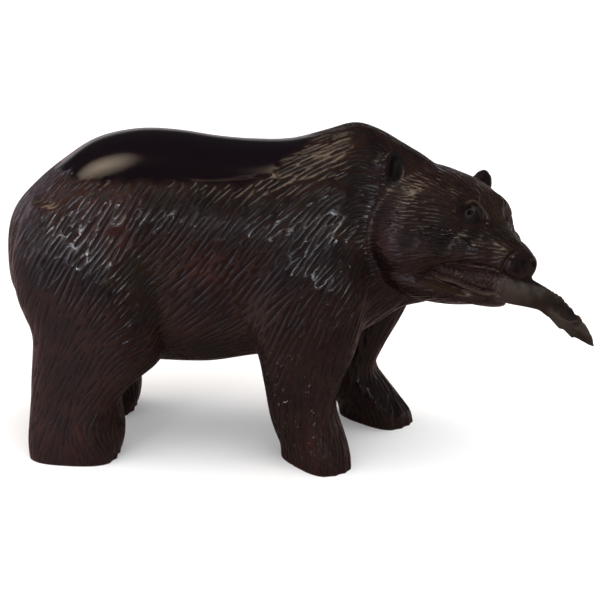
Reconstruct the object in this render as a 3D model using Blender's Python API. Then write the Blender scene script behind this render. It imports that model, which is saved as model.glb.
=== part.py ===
"""Carved wooden bear walking with a fish in its jaws, cut from one block of dark wood.

The bear walks along +X with its head turned to its right, towards -Y. Z is up, and the soles stand
flat on z = 0. It is a free form, so its tables are written in parts of the hump's height: PARTS_HIGH
parts make that height, and at the real size one part is one millimetre.
"""

import math

import bmesh
import bpy
import numpy as np
from mathutils import Vector
from mathutils.kdtree import KDTree

# Driving size, in metres
HUMP_HEIGHT = 0.182

PARTS_HIGH = 182
PART = HUMP_HEIGHT / PARTS_HIGH

# Trunk: x, y of the middle, top, height where it is widest, bottom, half width
TRUNK = (
    (-160.6, 1, 119, 105, 91, 9),
    (-156, 1, 132, 108, 81, 24),
    (-145, 1, 144.5, 111, 72, 37),
    (-130, 1, 157, 113, 61, 45),
    (-113, 1, 168, 114, 54, 48.5),
    (-91, 1, 173.5, 114, 48.5, 49.5),
    (-69, 1, 173.5, 112, 47.2, 48.5),
    (-47, 0, 171, 110, 48.5, 48.5),
    (-26, 0, 170, 108, 53, 49),
    (-7, 0, 171, 108, 56, 49),
    (12, -1, 176.8, 108, 59, 47),
    (28, -3, 182.3, 110, 66, 42),
    (42, -6, 179.5, 114, 75, 35.5),
    (56, -10, 173, 120, 86, 30),
    (68, -14, 167, 125, 90, 25),
    (80, -18, 158, 126, 96, 16),
)

# Legs: z, x and y of the middle, half length, half width, heading of the long side in degrees
HIND_LEG = (
    (142, -108, 22, 34, 20, 0),
    (116, -110, 28, 41, 24.5, 0),
    (92, -109, 31, 40.3, 25, 0),
    (72, -105.2, 32, 36.6, 23.5, 0),
    (58, -106.7, 33, 35.2, 21.5, 0),
    (46, -113.7, 33, 29.4, 19.5, 0),
    (33, -119.4, 33, 24.5, 18, 0),
    (20, -119.2, 34, 26, 18.5, 0),
    (10, -119.2, 34.5, 26.7, 19, 0),
    (0, -119.2, 34.5, 26.5, 18.5, 0),
    (-8, -119.2, 34.5, 25, 17, 0),
)
FAR_HIND_STEP = -4.5
NEAR_FORELEG = (
    (142, 15, -22, 24, 15, 0),
    (126, 10, -28, 31, 19, 0),
    (108, 8, -32, 34, 20.5, 0),
    (92, 6, -33, 33, 20.5, 0),
    (78, 6, -34, 30, 20, 0),
    (64, 6.5, -34, 25.5, 18.5, 0),
    (52, 5.2, -34, 21.8, 17.5, 0),
    (42, 4.2, -33.5, 19.2, 16.5, 0),
    (32, 4.4, -32.5, 17.8, 15.5, -12),
    (24, 6.3, -31.5, 19, 14.5, -28),
    (15, 9, -31, 21.5, 14, -40),
    (7, 11.2, -30.5, 23, 13.5, -47),
    (0, 11.4, -30, 23, 13.5, -47),
    (-8, 11.4, -30, 22, 12.5, -47),
)
FAR_FORELEG = (
    (142, 20, 18, 24, 15, 0),
    (126, 20, 24, 28, 18, 0),
    (108, 24, 28, 30, 20, 0),
    (92, 31, 30, 28, 19.5, 0),
    (78, 33.5, 31, 24.5, 18.5, 0),
    (64, 31.5, 32, 21.5, 17.5, 0),
    (52, 28, 32.5, 19, 16.5, 0),
    (42, 25, 33, 17.8, 15.5, 0),
    (33, 22.5, 33.5, 16.8, 15, -8),
    (24, 26, 34, 18.5, 14.5, -22),
    (14, 32.6, 35.5, 21.5, 14, -32),
    (6, 37.6, 37, 23, 14, -36),
    (0, 38.2, 37.5, 23, 14, -36),
    (-8, 40.5, 37.5, 22, 13, -36),
)

# Head: where its own frame stands, how far it turns to the right, and how far it leans to the left
HEAD_PLACE = (68.7, -7.5, 135.9)
HEAD_TURN = 48.6
HEAD_LEAN = 15.8

# Head masses in the head's frame: forward, side, top, height where it is widest, bottom, half width
SKULL = (
    (-30, -1, 10, -6, -20, 15),
    (-22, -2, 20, -7, -28, 28),
    (-8, -2, 26, -8, -34, 37),
    (8, -2.5, 26.4, -10, -37, 39.5),
    (22, -2.5, 25.7, -13, -37, 38),
    (34, -1.5, 22.6, -14, -33, 32.5),
    (44, -0.5, 17.8, -13, -22, 27.8),
    (54, 0, 9.6, -10, -16.5, 20.5),
    (65, 0, 4.6, -8, -14.5, 14.5),
    (73, 0, 2, -7.5, -15, 11.2),
    (80, 0, -1, -7.5, -14.5, 8.5),
    (82.5, 0, -3, -8, -13, 6),
)
LOWER_JAW = (
    (6, -3, -12, -26, -40, 30),
    (18, -3, -16, -29, -42.5, 30),
    (30, -2, -21, -30, -41.5, 28),
    (42, -1, -26.5, -31.5, -38, 23),
    (53, 0, -28.5, -32, -35.5, 17),
    (62, 0, -28.5, -31, -34, 11.5),
    (67, 0, -28.5, -30, -31.5, 6),
)

# The fish's flank between the jaws, in the head's frame, laid out as SKULL
MOUTHFUL = (
    (28, 0, -14, -22, -32, 23),
    (44, 0, -12, -22, -31, 21),
    (54, 0, -11, -22, -31, 16),
    (64, 0, -10, -21, -31, 10.5),
    (71, 0, -11, -20, -28, 6.5),
)

# Fish: x, y, z of its middle line, half thickness and half depth, from inside the mouth to the tail
FISH = (
    (80, -46, 119.5, 4, 5.5),
    (91, -53, 119.5, 6.5, 8.5),
    (103, -60.5, 118.7, 7.5, 9.7),
    (114, -66.5, 116.5, 6.5, 9),
    (124, -69.5, 114, 4.8, 7.2),
    (131, -70.5, 111.5, 3.6, 6.2),
    (137, -71, 107.6, 2.6, 6.6),
)
TAIL_FIN_OUTLINE = (
    (128, 115.5), (134, 115.8), (141, 111.5), (149, 103.5), (155, 94.8), (158, 87.5),
    (153, 88.5), (147.5, 93), (145.5, 92.3), (140.5, 97.3), (138.5, 97), (132.5, 104), (129.5, 108),
)
TAIL_FIN_MIDDLE = -71.5
TAIL_FIN_THICKNESS = 3.4

# Points of the face in the head's frame; the left one of each pair has the opposite side
NEAR_EAR_PLACE = (3.2, -33.2, 19.8)
FAR_EAR_PLACE = (0.6, 31.2, 19.2)
EAR_HALF_SIZE = (3.6, 7.2, 10.2)
EYE_PLACE = (48.1, -14.2, 10.6)
EYE_RADIUS = 3.4
EYE_DEPTH = 3.6
EYE_OUTWARD = (0.5, -0.7, 0.5)
SOCKET_RADIUS = 7.5
SOCKET_DEPTH = 2.4
BROW_PLACE = (43.0, -15.0, 15.0)
BROW_RADIUS = 10.0
BROW_SWELL = 2.0
EAR_HOLLOW_OFFSET = (2.8, 0.0, 3.2)
EAR_HOLLOW_RADIUS = 5.5
EAR_HOLLOW_DEPTH = 2.6
NOSTRIL_PLACE = (82.0, -4.2, -7.0)
NOSTRIL_RADIUS = 2.6
NOSTRIL_DEPTH = 1.4

# Toes: grooves over each paw's front, as shares of its half width and half length, from wrist to tip
TOE_GROOVES = (-0.5, 0.0, 0.5)
TOE_GROOVE_REACH = (0.62, 1.04)
TOE_GROOVE_SPREAD = (0.6, 1.0)
TOE_GROOVE_TOP = 15
TOE_GROOVE_HALF_WIDTH = 2.4
TOE_GROOVE_DEPTH = 1.5
TOE_GROOVE_DABS = 12

# Meshing
RING_POINTS = 48
SUPERELLIPSE = 2.3
LEG_SUPERELLIPSE = 2.9
VOXEL = 1.0
BODY_SMOOTH_ROUNDS = 60
LAST_SMOOTH_ROUNDS = 4
CRISP_HEAD = (4, 30)
CRISP_FISH = (100, 112)
HEAD_BORDER = (46, 56)
BODY_TRIANGLES = 5900
HEAD_TRIANGLES = 2900

# Polished back: where it fades out at the rump, along its lower edge and at the hump, whose edge slants
SADDLE_REAR = (-138, -132)
SADDLE_EDGE = (156, 160)
SADDLE_FRONT = (-22, -18)
SADDLE_SLANT = 1.35

# Fur locks: spacing and reach across the flow, depth, longest run and sampling step
LOCK_PITCH = 8.5
LOCK_CROWDING = 0.72
LOCK_HALF_WIDTH = 3.8
LOCK_DEPTH = 1.1
LOCK_RUN = (16, 34)
LOCK_STEP = 2.0
LOCK_SEED = 7
LOCK_FEWEST_STEPS = 4
LOCKLESS_SOLE = 4

# Slope of the fur's flow below the horizontal, in degrees, at places x and z of the side view
FUR_SLOPES = (
    (-150, 130, 62), (-125, 95, 66), (-115, 50, 62), (-118, 20, 70), (-95, 130, 58), (-70, 100, 48),
    (-70, 65, 24), (-40, 130, 56), (-35, 70, 24), (-10, 110, 50), (0, 80, 60), (10, 130, 56),
    (12, 60, 80), (14, 25, 82), (25, 170, 34), (45, 150, 38), (50, 110, 52),
)
HEAD_FUR_SLOPE = 14


def smooth_rows(rows, steps):
    """Rows read from a Catmull-Rom curve through the given rows, steps of them in each stretch."""
    rows = np.array(rows, dtype=float)
    padded = np.vstack((2 * rows[0] - rows[1], rows, 2 * rows[-1] - rows[-2]))
    t = (np.arange(steps) / steps)[:, None]
    out = []
    for a, b, c, d in zip(padded, padded[1:], padded[2:], padded[3:]):
        out.append(b + 0.5 * t * (c - a + t * (2 * a - 5 * b + 4 * c - d + t * (3 * (b - c) + d - a))))
    out.append(rows[-1:])
    return np.vstack(out)


def closed_loft(name, rings):
    """A closed mesh through the rings of points, with a cap at each end."""
    count, sides = rings.shape[:2]
    vertices = np.vstack((rings.reshape(-1, 3), rings[0].mean(axis=0), rings[-1].mean(axis=0)))
    faces = []
    for ring in range(count - 1):
        for side in range(sides):
            after = (side + 1) % sides
            low = ring * sides
            high = low + sides
            faces.append((low + side, low + after, high + after, high + side))
    last = (count - 1) * sides
    for side in range(sides):
        after = (side + 1) % sides
        faces.append((count * sides, after, side))
        faces.append((count * sides + 1, last + side, last + after))
    mesh = bpy.data.meshes.new(name)
    mesh.from_pydata((vertices * PART).tolist(), [], faces)
    shape = bmesh.new()
    shape.from_mesh(mesh)
    bmesh.ops.recalc_face_normals(shape, faces=shape.faces)
    shape.to_mesh(mesh)
    shape.free()
    obj = bpy.data.objects.new(name, mesh)
    bpy.context.collection.objects.link(obj)
    return obj


def round_section(power=SUPERELLIPSE):
    """Two coordinates, -1 to 1, round a superellipse."""
    angles = np.arange(RING_POINTS) * 2 * math.pi / RING_POINTS
    across = np.cos(angles)
    up = np.sin(angles)
    return (np.sign(across) * np.abs(across) ** (2 / power), np.sign(up) * np.abs(up) ** (2 / power))


def lengthwise_mass(name, rows, origin=(0, 0, 0), axes=np.eye(3)):
    """A mass lofted along its own first axis, from rows laid out as in TRUNK."""
    across, up = round_section()
    rings = []
    for along, side, top, middle, bottom, half_width in smooth_rows(rows, 6):
        height = np.where(up > 0, up * (top - middle), up * (middle - bottom))
        local = np.stack((np.full_like(across, along), side + across * half_width, middle + height), axis=1)
        rings.append(np.array(origin) + local @ axes)
    return closed_loft(name, np.array(rings))


def leg_mass(name, rows, side=1, step=0):
    """A leg lofted upwards, from rows laid out as in HIND_LEG.

    Side -1 mirrors it across the middle, and step moves it along X.
    """
    across, up = round_section(LEG_SUPERELLIPSE)
    rings = []
    for height, x, y, half_length, half_width, heading in smooth_rows(rows, 5):
        turn = math.radians(heading)
        along = across * half_length
        wide = up * half_width
        ring_x = x + step + along * math.cos(turn) - wide * math.sin(turn)
        ring_y = y + along * math.sin(turn) + wide * math.cos(turn)
        rings.append(np.stack((ring_x, side * ring_y, np.full_like(across, height)), axis=1))
    return closed_loft(name, np.array(rings))


def head_axes():
    """The head's forward, left and up directions, as rows."""
    turn = math.radians(HEAD_TURN)
    lean = math.radians(HEAD_LEAN)
    forward = np.array((math.cos(turn), -math.sin(turn), 0.0))
    level_left = np.array((math.sin(turn), math.cos(turn), 0.0))
    level_up = np.array((0.0, 0.0, 1.0))
    left = level_left * math.cos(lean) - level_up * math.sin(lean)
    return np.array((forward, left, np.cross(forward, left)))


def head_point(place, side=1):
    """World place, in metres, of a point in the head's frame; side -1 takes the other side's."""
    local = np.array((place[0], side * place[1], place[2]))
    return (np.array(HEAD_PLACE) + local @ head_axes()) * PART


def ear_mass(name, place):
    """An upright round ear."""
    across, up = round_section(2)
    half_thick, half_wide, half_high = EAR_HALF_SIZE
    middle = np.array(place)
    rings = []
    for t in np.linspace(-0.96, 0.96, 13):
        reach = math.sqrt(1 - t * t)
        depth = np.full_like(across, t * half_thick)
        ring = np.stack((depth, across * reach * half_wide, up * reach * half_high), axis=1)
        rings.append(np.array(HEAD_PLACE) + (middle + ring) @ head_axes())
    return closed_loft(name, np.array(rings))


def fish_mass(name):
    """The fish's body along its bent middle line."""
    across, up = round_section(2)
    rows = smooth_rows(FISH, 6)
    middle = rows[:, :3]
    heading = np.gradient(middle, axis=0)
    heading /= np.linalg.norm(heading, axis=1)[:, None]
    rings = []
    for place, along, half_thick, half_deep in zip(middle, heading, rows[:, 3], rows[:, 4]):
        side = np.cross(along, (0, 0, 1))
        side /= np.linalg.norm(side)
        over = np.cross(side, along)
        rings.append(place + np.outer(across * half_thick, side) + np.outer(up * half_deep, over))
    return closed_loft(name, np.array(rings))


def tail_fin_mass(name):
    """The fish's fanned tail, a flat plate on edge."""
    shape = bmesh.new()
    near = TAIL_FIN_MIDDLE - TAIL_FIN_THICKNESS / 2
    rim = [shape.verts.new((x * PART, near * PART, z * PART)) for x, z in TAIL_FIN_OUTLINE]
    plate = shape.faces.new(rim)
    grown = bmesh.ops.extrude_face_region(shape, geom=[plate])["geom"]
    new_points = [item for item in grown if isinstance(item, bmesh.types.BMVert)]
    bmesh.ops.translate(shape, verts=new_points, vec=(0, TAIL_FIN_THICKNESS * PART, 0))
    bmesh.ops.recalc_face_normals(shape, faces=shape.faces)
    mesh = bpy.data.meshes.new(name)
    shape.to_mesh(mesh)
    shape.free()
    obj = bpy.data.objects.new(name, mesh)
    bpy.context.collection.objects.link(obj)
    return obj


def bake(obj):
    """Applies the object's modifiers to its mesh."""
    seen = obj.evaluated_get(bpy.context.evaluated_depsgraph_get())
    mesh = bpy.data.meshes.new_from_object(seen)
    rough = obj.data
    obj.modifiers.clear()
    obj.data = mesh
    bpy.data.meshes.remove(rough)


def fuse(name, masses):
    """One skin round all the overlapping masses."""
    shape = bmesh.new()
    for mass in masses:
        shape.from_mesh(mass.data)
        bpy.data.objects.remove(mass)
    mesh = bpy.data.meshes.new(name)
    shape.to_mesh(mesh)
    shape.free()
    obj = bpy.data.objects.new(name, mesh)
    bpy.context.collection.objects.link(obj)
    skin = obj.modifiers.new("One skin", "REMESH")
    skin.mode = "VOXEL"
    skin.voxel_size = VOXEL * PART
    bake(obj)
    return obj


def mesh_arrays(mesh):
    """The mesh's points and vertex normals as arrays."""
    points = np.empty(len(mesh.vertices) * 3, dtype=np.float32)
    mesh.vertices.foreach_get("co", points)
    normals = np.empty(len(mesh.vertices) * 3, dtype=np.float32)
    mesh.vertex_normals.foreach_get("vector", normals)
    return points.reshape(-1, 3).astype(float), normals.reshape(-1, 3).astype(float)


def set_points(mesh, points):
    mesh.vertices.foreach_set("co", points.astype(np.float32).ravel())
    mesh.update()


def smooth_step(low, high, value):
    """0 below low, 1 above high, and an even curve between."""
    t = np.clip((value - low) / (high - low), 0, 1)
    return t * t * (3 - 2 * t)


def head_share(points, behind=-26, ahead=-4):
    """1 on the head, 0 on the rest, with a soft border between two places along the head."""
    local = (points / PART - np.array(HEAD_PLACE)) @ head_axes().T
    off_axis = np.linalg.norm(local[:, 1:], axis=1)
    return smooth_step(behind, ahead, local[:, 0]) * (1 - smooth_step(*HEAD_BORDER, off_axis))


def soften(obj, rounds, share):
    """Smooths the mesh, each point by its share."""
    group = obj.vertex_groups.new(name="Soft")
    steps = 10
    for level in range(1, steps + 1):
        chosen = np.flatnonzero(np.round(share * steps) == level)
        group.add(chosen.tolist(), level / steps, "REPLACE")
    relax = obj.modifiers.new("Soften", "SMOOTH")
    relax.factor = 0.5
    relax.iterations = round(rounds)
    relax.vertex_group = group.name
    bake(obj)
    obj.vertex_groups.clear()


def dome(points, centre, radius):
    """1 at the centre, falling smoothly to 0 at the radius."""
    distance = np.linalg.norm(points - centre, axis=1) / radius
    return np.clip(1 - distance ** 2, 0, None) ** 2


def press(points, normals, centre, radius, depth):
    """A soft dent, or a swelling where the depth is negative."""
    return points - normals * (depth * dome(points, centre, radius))[:, None]


def seat_ball(points, centre, radius, outward):
    """Raises the skin over a ball to the ball's outer half."""
    away = points - centre
    height = away @ outward
    aside = np.linalg.norm(away - np.outer(height, outward), axis=1)
    cap = np.sqrt(np.clip(radius ** 2 - aside ** 2, 0, None))
    lift = np.where((aside < radius) & (np.abs(height) < 2 * radius), np.clip(cap - height, 0, None), 0)
    return points + np.outer(lift, outward)


def carve_face(obj):
    """Eye sockets with their balls, ear hollows and nostrils."""
    dents = (
        (BROW_PLACE, BROW_RADIUS, -BROW_SWELL),
        (EYE_PLACE, SOCKET_RADIUS, SOCKET_DEPTH),
        (NOSTRIL_PLACE, NOSTRIL_RADIUS, NOSTRIL_DEPTH),
    )
    for side, ear in ((1, NEAR_EAR_PLACE), (-1, FAR_EAR_PLACE)):
        points, normals = mesh_arrays(obj.data)
        for place, radius, depth in dents:
            points = press(points, normals, head_point(place, side), radius * PART, depth * PART)
        hollow = head_point(np.array(ear) + EAR_HOLLOW_OFFSET)
        points = press(points, normals, hollow, EAR_HOLLOW_RADIUS * PART, EAR_HOLLOW_DEPTH * PART)
        outward = (np.array(EYE_OUTWARD) * (1, side, 1)) @ head_axes()
        outward /= np.linalg.norm(outward)
        ball = head_point(EYE_PLACE, side) - outward * EYE_DEPTH * PART
        set_points(obj.data, seat_ball(points, ball, EYE_RADIUS * PART, outward))


def carve_toes(obj):
    """Grooves that part the toes, from the wrist down over the front of each paw."""
    paws = ((HIND_LEG, -1, 0), (HIND_LEG, 1, FAR_HIND_STEP), (NEAR_FORELEG, 1, 0), (FAR_FORELEG, 1, 0))
    points, normals = mesh_arrays(obj.data)
    depth = np.zeros(len(points))
    for rows, side, step in paws:
        _, x, y, half_length, half_width, heading = next(row for row in rows if row[0] == 0)
        turn = math.radians(side * heading)
        along = np.array((math.cos(turn), math.sin(turn), 0))
        across = np.array((-math.sin(turn), math.cos(turn), 0))
        middle = np.array((x + step, side * y, 0))
        for share in TOE_GROOVES:
            for t in np.linspace(0, 1, TOE_GROOVE_DABS):
                reach = half_length * np.interp(t, (0, 1), TOE_GROOVE_REACH)
                aside = half_width * share * np.interp(t, (0, 1), TOE_GROOVE_SPREAD)
                place = middle + along * reach + across * aside
                place[2] = TOE_GROOVE_TOP * (1 - t)
                cut = dome(points, place * PART, 2 * TOE_GROOVE_HALF_WIDTH * PART)
                depth = np.maximum(depth, cut * TOE_GROOVE_DEPTH * PART)
    set_points(obj.data, points - normals * depth[:, None])


def fur_headings(points, normals):
    """The fur's direction along the skin at each point."""
    places = points / PART
    weights = np.zeros(len(places))
    slopes = np.zeros(len(places))
    for x, z, slope in FUR_SLOPES:
        weight = ((places[:, 0] - x) ** 2 + (places[:, 2] - z) ** 2 + 4) ** -1.5
        weights += weight
        slopes += weight * slope
    slope = np.radians(slopes / weights)
    body = np.stack((-np.cos(slope), np.zeros(len(slope)), -np.sin(slope)), axis=1)
    forward, left, up = head_axes()
    face_slope = math.radians(HEAD_FUR_SLOPE)
    face = -forward * math.cos(face_slope) - up * math.sin(face_slope)
    share = head_share(points)[:, None]
    flow = body * (1 - share) + face * share
    flow -= normals * (flow * normals).sum(axis=1)[:, None]
    return flow / np.maximum(np.linalg.norm(flow, axis=1), 1e-6)[:, None]


def trace_locks(obj, keep):
    """Strokes that follow the flow at an even spacing: lists of places, one list for each stroke."""
    points, normals = mesh_arrays(obj.data)
    headings = fur_headings(points, normals)
    tree = KDTree(len(points))
    for index, point in enumerate(points):
        tree.insert(point, index)
    tree.balance()
    random = np.random.default_rng(LOCK_SEED)
    cell = LOCK_PITCH * PART
    taken = {}

    def crowded(place, reach):
        corner = [int(math.floor(value / cell)) for value in place]
        for i in (-1, 0, 1):
            for j in (-1, 0, 1):
                for k in (-1, 0, 1):
                    for other in taken.get((corner[0] + i, corner[1] + j, corner[2] + k), ()):
                        if (other - place).length < reach:
                            return True
        return False

    strokes = []
    for seed in random.permutation(np.flatnonzero(keep)):
        start = Vector(points[seed])
        if crowded(start, cell):
            continue
        run = random.uniform(*LOCK_RUN) * PART
        stroke = []
        place = start
        index = seed
        while len(stroke) * LOCK_STEP * PART < run:
            if not keep[index] or crowded(place, LOCK_CROWDING * cell):
                break
            stroke.append((place, index))
            ahead = place + Vector(headings[index]) * LOCK_STEP * PART
            nearest, index, _ = tree.find(ahead)
            place = ahead - Vector(normals[index]) * (ahead - nearest).dot(Vector(normals[index]))
        if len(stroke) < LOCK_FEWEST_STEPS:
            continue
        for place, _ in stroke:
            corner = tuple(int(math.floor(value / cell)) for value in place)
            taken.setdefault(corner, []).append(place)
        strokes.append(stroke)
    return strokes


def carve_locks(obj, keep):
    """Cuts a tapered round groove under each stroke, so that locks stand between them."""
    strokes = trace_locks(obj, keep)
    points, normals = mesh_arrays(obj.data)
    tree = KDTree(len(points))
    for index, point in enumerate(points):
        tree.insert(point, index)
    tree.balance()
    depth = np.zeros(len(points))
    for stroke in strokes:
        for number, (place, _) in enumerate(stroke):
            taper = math.sin(math.pi * (number + 0.6) / (len(stroke) + 0.2)) ** 0.6
            reach = LOCK_HALF_WIDTH * PART
            for _, other, distance in tree.find_range(place, reach):
                cut = LOCK_DEPTH * PART * taper * (1 - (distance / reach) ** 2)
                if cut > depth[other]:
                    depth[other] = cut
    set_points(obj.data, points - normals * depth[:, None])


def thin_out(obj, chosen, triangles):
    """Brings the faces among the chosen points down to about this many triangles."""
    sizes = np.array([len(face.vertices) - 2 for face in obj.data.polygons])
    inside = np.array([all(chosen[list(face.vertices)]) for face in obj.data.polygons])
    group = obj.vertex_groups.new(name="Thinned")
    group.add(np.flatnonzero(chosen).tolist(), 1, "REPLACE")
    fewer = obj.modifiers.new("Fewer triangles", "DECIMATE")
    fewer.ratio = (sizes[~inside].sum() + triangles) / sizes.sum()
    fewer.use_collapse_triangulate = True
    fewer.vertex_group = group.name
    bake(obj)
    obj.vertex_groups.clear()


def flatten_soles(obj):
    """Cuts the feet off flat at z = 0 and closes the soles."""
    shape = bmesh.new()
    shape.from_mesh(obj.data)
    everything = list(shape.verts) + list(shape.edges) + list(shape.faces)
    bmesh.ops.bisect_plane(shape, geom=everything, dist=1e-7, plane_co=(0, 0, 0), plane_no=(0, 0, -1),
                           clear_outer=True)
    rim = [edge for edge in shape.edges if edge.is_boundary]
    bmesh.ops.holes_fill(shape, edges=rim, sides=0)
    bmesh.ops.triangulate(shape, faces=[face for face in shape.faces if len(face.verts) > 3])
    bmesh.ops.recalc_face_normals(shape, faces=shape.faces)
    shape.to_mesh(obj.data)
    shape.free()


def centre_on_box(obj):
    """Puts the middle of the figure's box over the origin."""
    points, _ = mesh_arrays(obj.data)
    middle = (points.min(axis=0) + points.max(axis=0)) / 2
    middle[2] = 0
    set_points(obj.data, points - middle)


def dark_wood():
    """Near-black oiled wood with a soft gloss."""
    material = bpy.data.materials.new("dark_wood")
    material.use_nodes = True
    shader = material.node_tree.nodes["Principled BSDF"]
    shader.inputs["Base Color"].default_value = (0.028, 0.016, 0.012, 1)
    shader.inputs["Roughness"].default_value = 0.38
    return material


def rough_form():
    """All the masses in one smooth skin, before any carving."""
    axes = head_axes()
    masses = [
        lengthwise_mass("trunk", TRUNK),
        leg_mass("near_hind_leg", HIND_LEG, -1),
        leg_mass("far_hind_leg", HIND_LEG, 1, FAR_HIND_STEP),
        leg_mass("near_foreleg", NEAR_FORELEG),
        leg_mass("far_foreleg", FAR_FORELEG),
        lengthwise_mass("skull", SKULL, HEAD_PLACE, axes),
        lengthwise_mass("lower_jaw", LOWER_JAW, HEAD_PLACE, axes),
        ear_mass("near_ear", NEAR_EAR_PLACE),
        ear_mass("far_ear", FAR_EAR_PLACE),
        lengthwise_mass("mouthful", MOUTHFUL, HEAD_PLACE, axes),
        fish_mass("fish"),
        tail_fin_mass("tail_fin"),
    ]
    form = fuse("carved_bear", masses)
    points, _ = mesh_arrays(form.data)
    crisp = head_share(points, *CRISP_HEAD)
    beyond = smooth_step(*CRISP_FISH, points[:, 0] / PART)
    soften(form, BODY_SMOOTH_ROUNDS, (1 - crisp) * (1 - beyond))
    soften(form, LAST_SMOOTH_ROUNDS, 1 - beyond)
    return form


def polished_saddle(points):
    """1 on the smooth back between the rump and the hump."""
    places = points / PART
    rear = smooth_step(*SADDLE_REAR, places[:, 0])
    slant = (places[:, 2] - SADDLE_EDGE[1]) * SADDLE_SLANT
    front = 1 - smooth_step(*SADDLE_FRONT, places[:, 0] - slant)
    return rear * front * smooth_step(*SADDLE_EDGE, places[:, 2])


def build_bear():
    """The whole figure as one solid."""
    for old in list(bpy.data.objects):
        bpy.data.objects.remove(old)
    bear = rough_form()
    carve_face(bear)
    carve_toes(bear)
    points, _ = mesh_arrays(bear.data)
    share = head_share(points)
    furred = (polished_saddle(points) < 0.5) & (share < 0.6) & (points[:, 2] > LOCKLESS_SOLE * PART)
    carve_locks(bear, furred)
    thin_out(bear, share < 0.5, BODY_TRIANGLES)
    points, _ = mesh_arrays(bear.data)
    thin_out(bear, head_share(points) >= 0.5, HEAD_TRIANGLES)
    flatten_soles(bear)
    centre_on_box(bear)
    bear.data.materials.clear()
    bear.data.materials.append(dark_wood())
    return bear


build_bear()
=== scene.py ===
# %% [markdown]
# # A carved wooden bear with a fish
#
# The real object is one block of dense, almost black wood. Its maker roughed out a walking bear, cut
# the fur with a gouge, stroke by stroke, left the back smooth and polished it. The fish is part of
# the same block. This lesson builds it the way it was carved: rough masses first, then the face and
# the paws, then some thousands of fur cuts, and the finish last.

# %% Load the frame
import math

import bpy
import numpy as np
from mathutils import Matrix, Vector, noise
from mathutils.kdtree import KDTree


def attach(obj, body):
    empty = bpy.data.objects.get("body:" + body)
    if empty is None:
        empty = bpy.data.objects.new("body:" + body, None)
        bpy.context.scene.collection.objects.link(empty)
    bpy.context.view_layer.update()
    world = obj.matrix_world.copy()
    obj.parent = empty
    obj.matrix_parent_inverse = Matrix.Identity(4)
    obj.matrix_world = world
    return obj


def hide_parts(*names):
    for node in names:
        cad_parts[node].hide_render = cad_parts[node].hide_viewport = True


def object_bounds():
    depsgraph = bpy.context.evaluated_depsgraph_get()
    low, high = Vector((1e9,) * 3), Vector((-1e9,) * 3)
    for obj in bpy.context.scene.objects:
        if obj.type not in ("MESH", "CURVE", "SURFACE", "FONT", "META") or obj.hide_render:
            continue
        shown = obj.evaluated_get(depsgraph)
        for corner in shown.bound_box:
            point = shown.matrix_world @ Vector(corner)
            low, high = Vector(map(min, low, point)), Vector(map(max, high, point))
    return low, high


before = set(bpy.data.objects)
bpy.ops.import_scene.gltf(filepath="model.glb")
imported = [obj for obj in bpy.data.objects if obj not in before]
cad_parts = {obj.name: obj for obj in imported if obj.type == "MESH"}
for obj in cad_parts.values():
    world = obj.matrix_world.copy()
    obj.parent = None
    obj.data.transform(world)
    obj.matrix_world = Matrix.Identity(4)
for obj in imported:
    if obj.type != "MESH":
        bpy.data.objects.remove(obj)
cad_low, cad_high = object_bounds()
bpy.ops.object.select_all(action="DESELECT")
print("The frame is", [round((high - low) * 1000, 1) for low, high in zip(cad_low, cad_high)], "mm")

# %% [markdown]
# ## One measure for everything
#
# A figure has no drawing with millimetres on it, so every place below is counted in parts of its
# height, and the frame says how tall that is. X runs the way the bear walks, Y to its left, Z up.

# %% Sizes
BOX_PARTS = (318.1, 131.7, 181.9)
PART = (cad_high.z - cad_low.z) / BOX_PARTS[2]
VOXEL = 1.0
RING_POINTS = 48
SUPERELLIPSE = 2.3
LEG_SUPERELLIPSE = 2.9
print("One part is", round(PART * 1000, 3), "mm")

# %% [markdown]
# ## The rough masses
#
# A carver thinks in masses: barrel, legs, skull, jaw. Each one is a row of sections, read from a
# smooth curve, with a skin bridged over them. Sections are the quickest way to hold a pose, because
# each one is a height, a width and a place that can be compared with the real animal.

# %% Trunk: x, y of the middle, top, height where it is widest, bottom, half width
TRUNK = (
    (-160.6, 1, 119, 105, 91, 9),
    (-156, 1, 132, 108, 81, 24),
    (-145, 1, 144.5, 111, 72, 37),
    (-130, 1, 157, 113, 61, 45),
    (-113, 1, 168, 114, 54, 48.5),
    (-91, 1, 173.5, 114, 48.5, 49.5),
    (-69, 1, 173.5, 112, 47.2, 48.5),
    (-47, 0, 171, 110, 48.5, 48.5),
    (-26, 0, 170, 108, 53, 49),
    (-7, 0, 171, 108, 56, 49),
    (12, -1, 176.8, 108, 59, 47),
    (28, -3, 182.3, 110, 66, 42),
    (42, -6, 179.5, 114, 75, 35.5),
    (56, -10, 173, 120, 86, 30),
    (68, -14, 167, 125, 90, 25),
    (80, -18, 158, 126, 96, 16),
)

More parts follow.
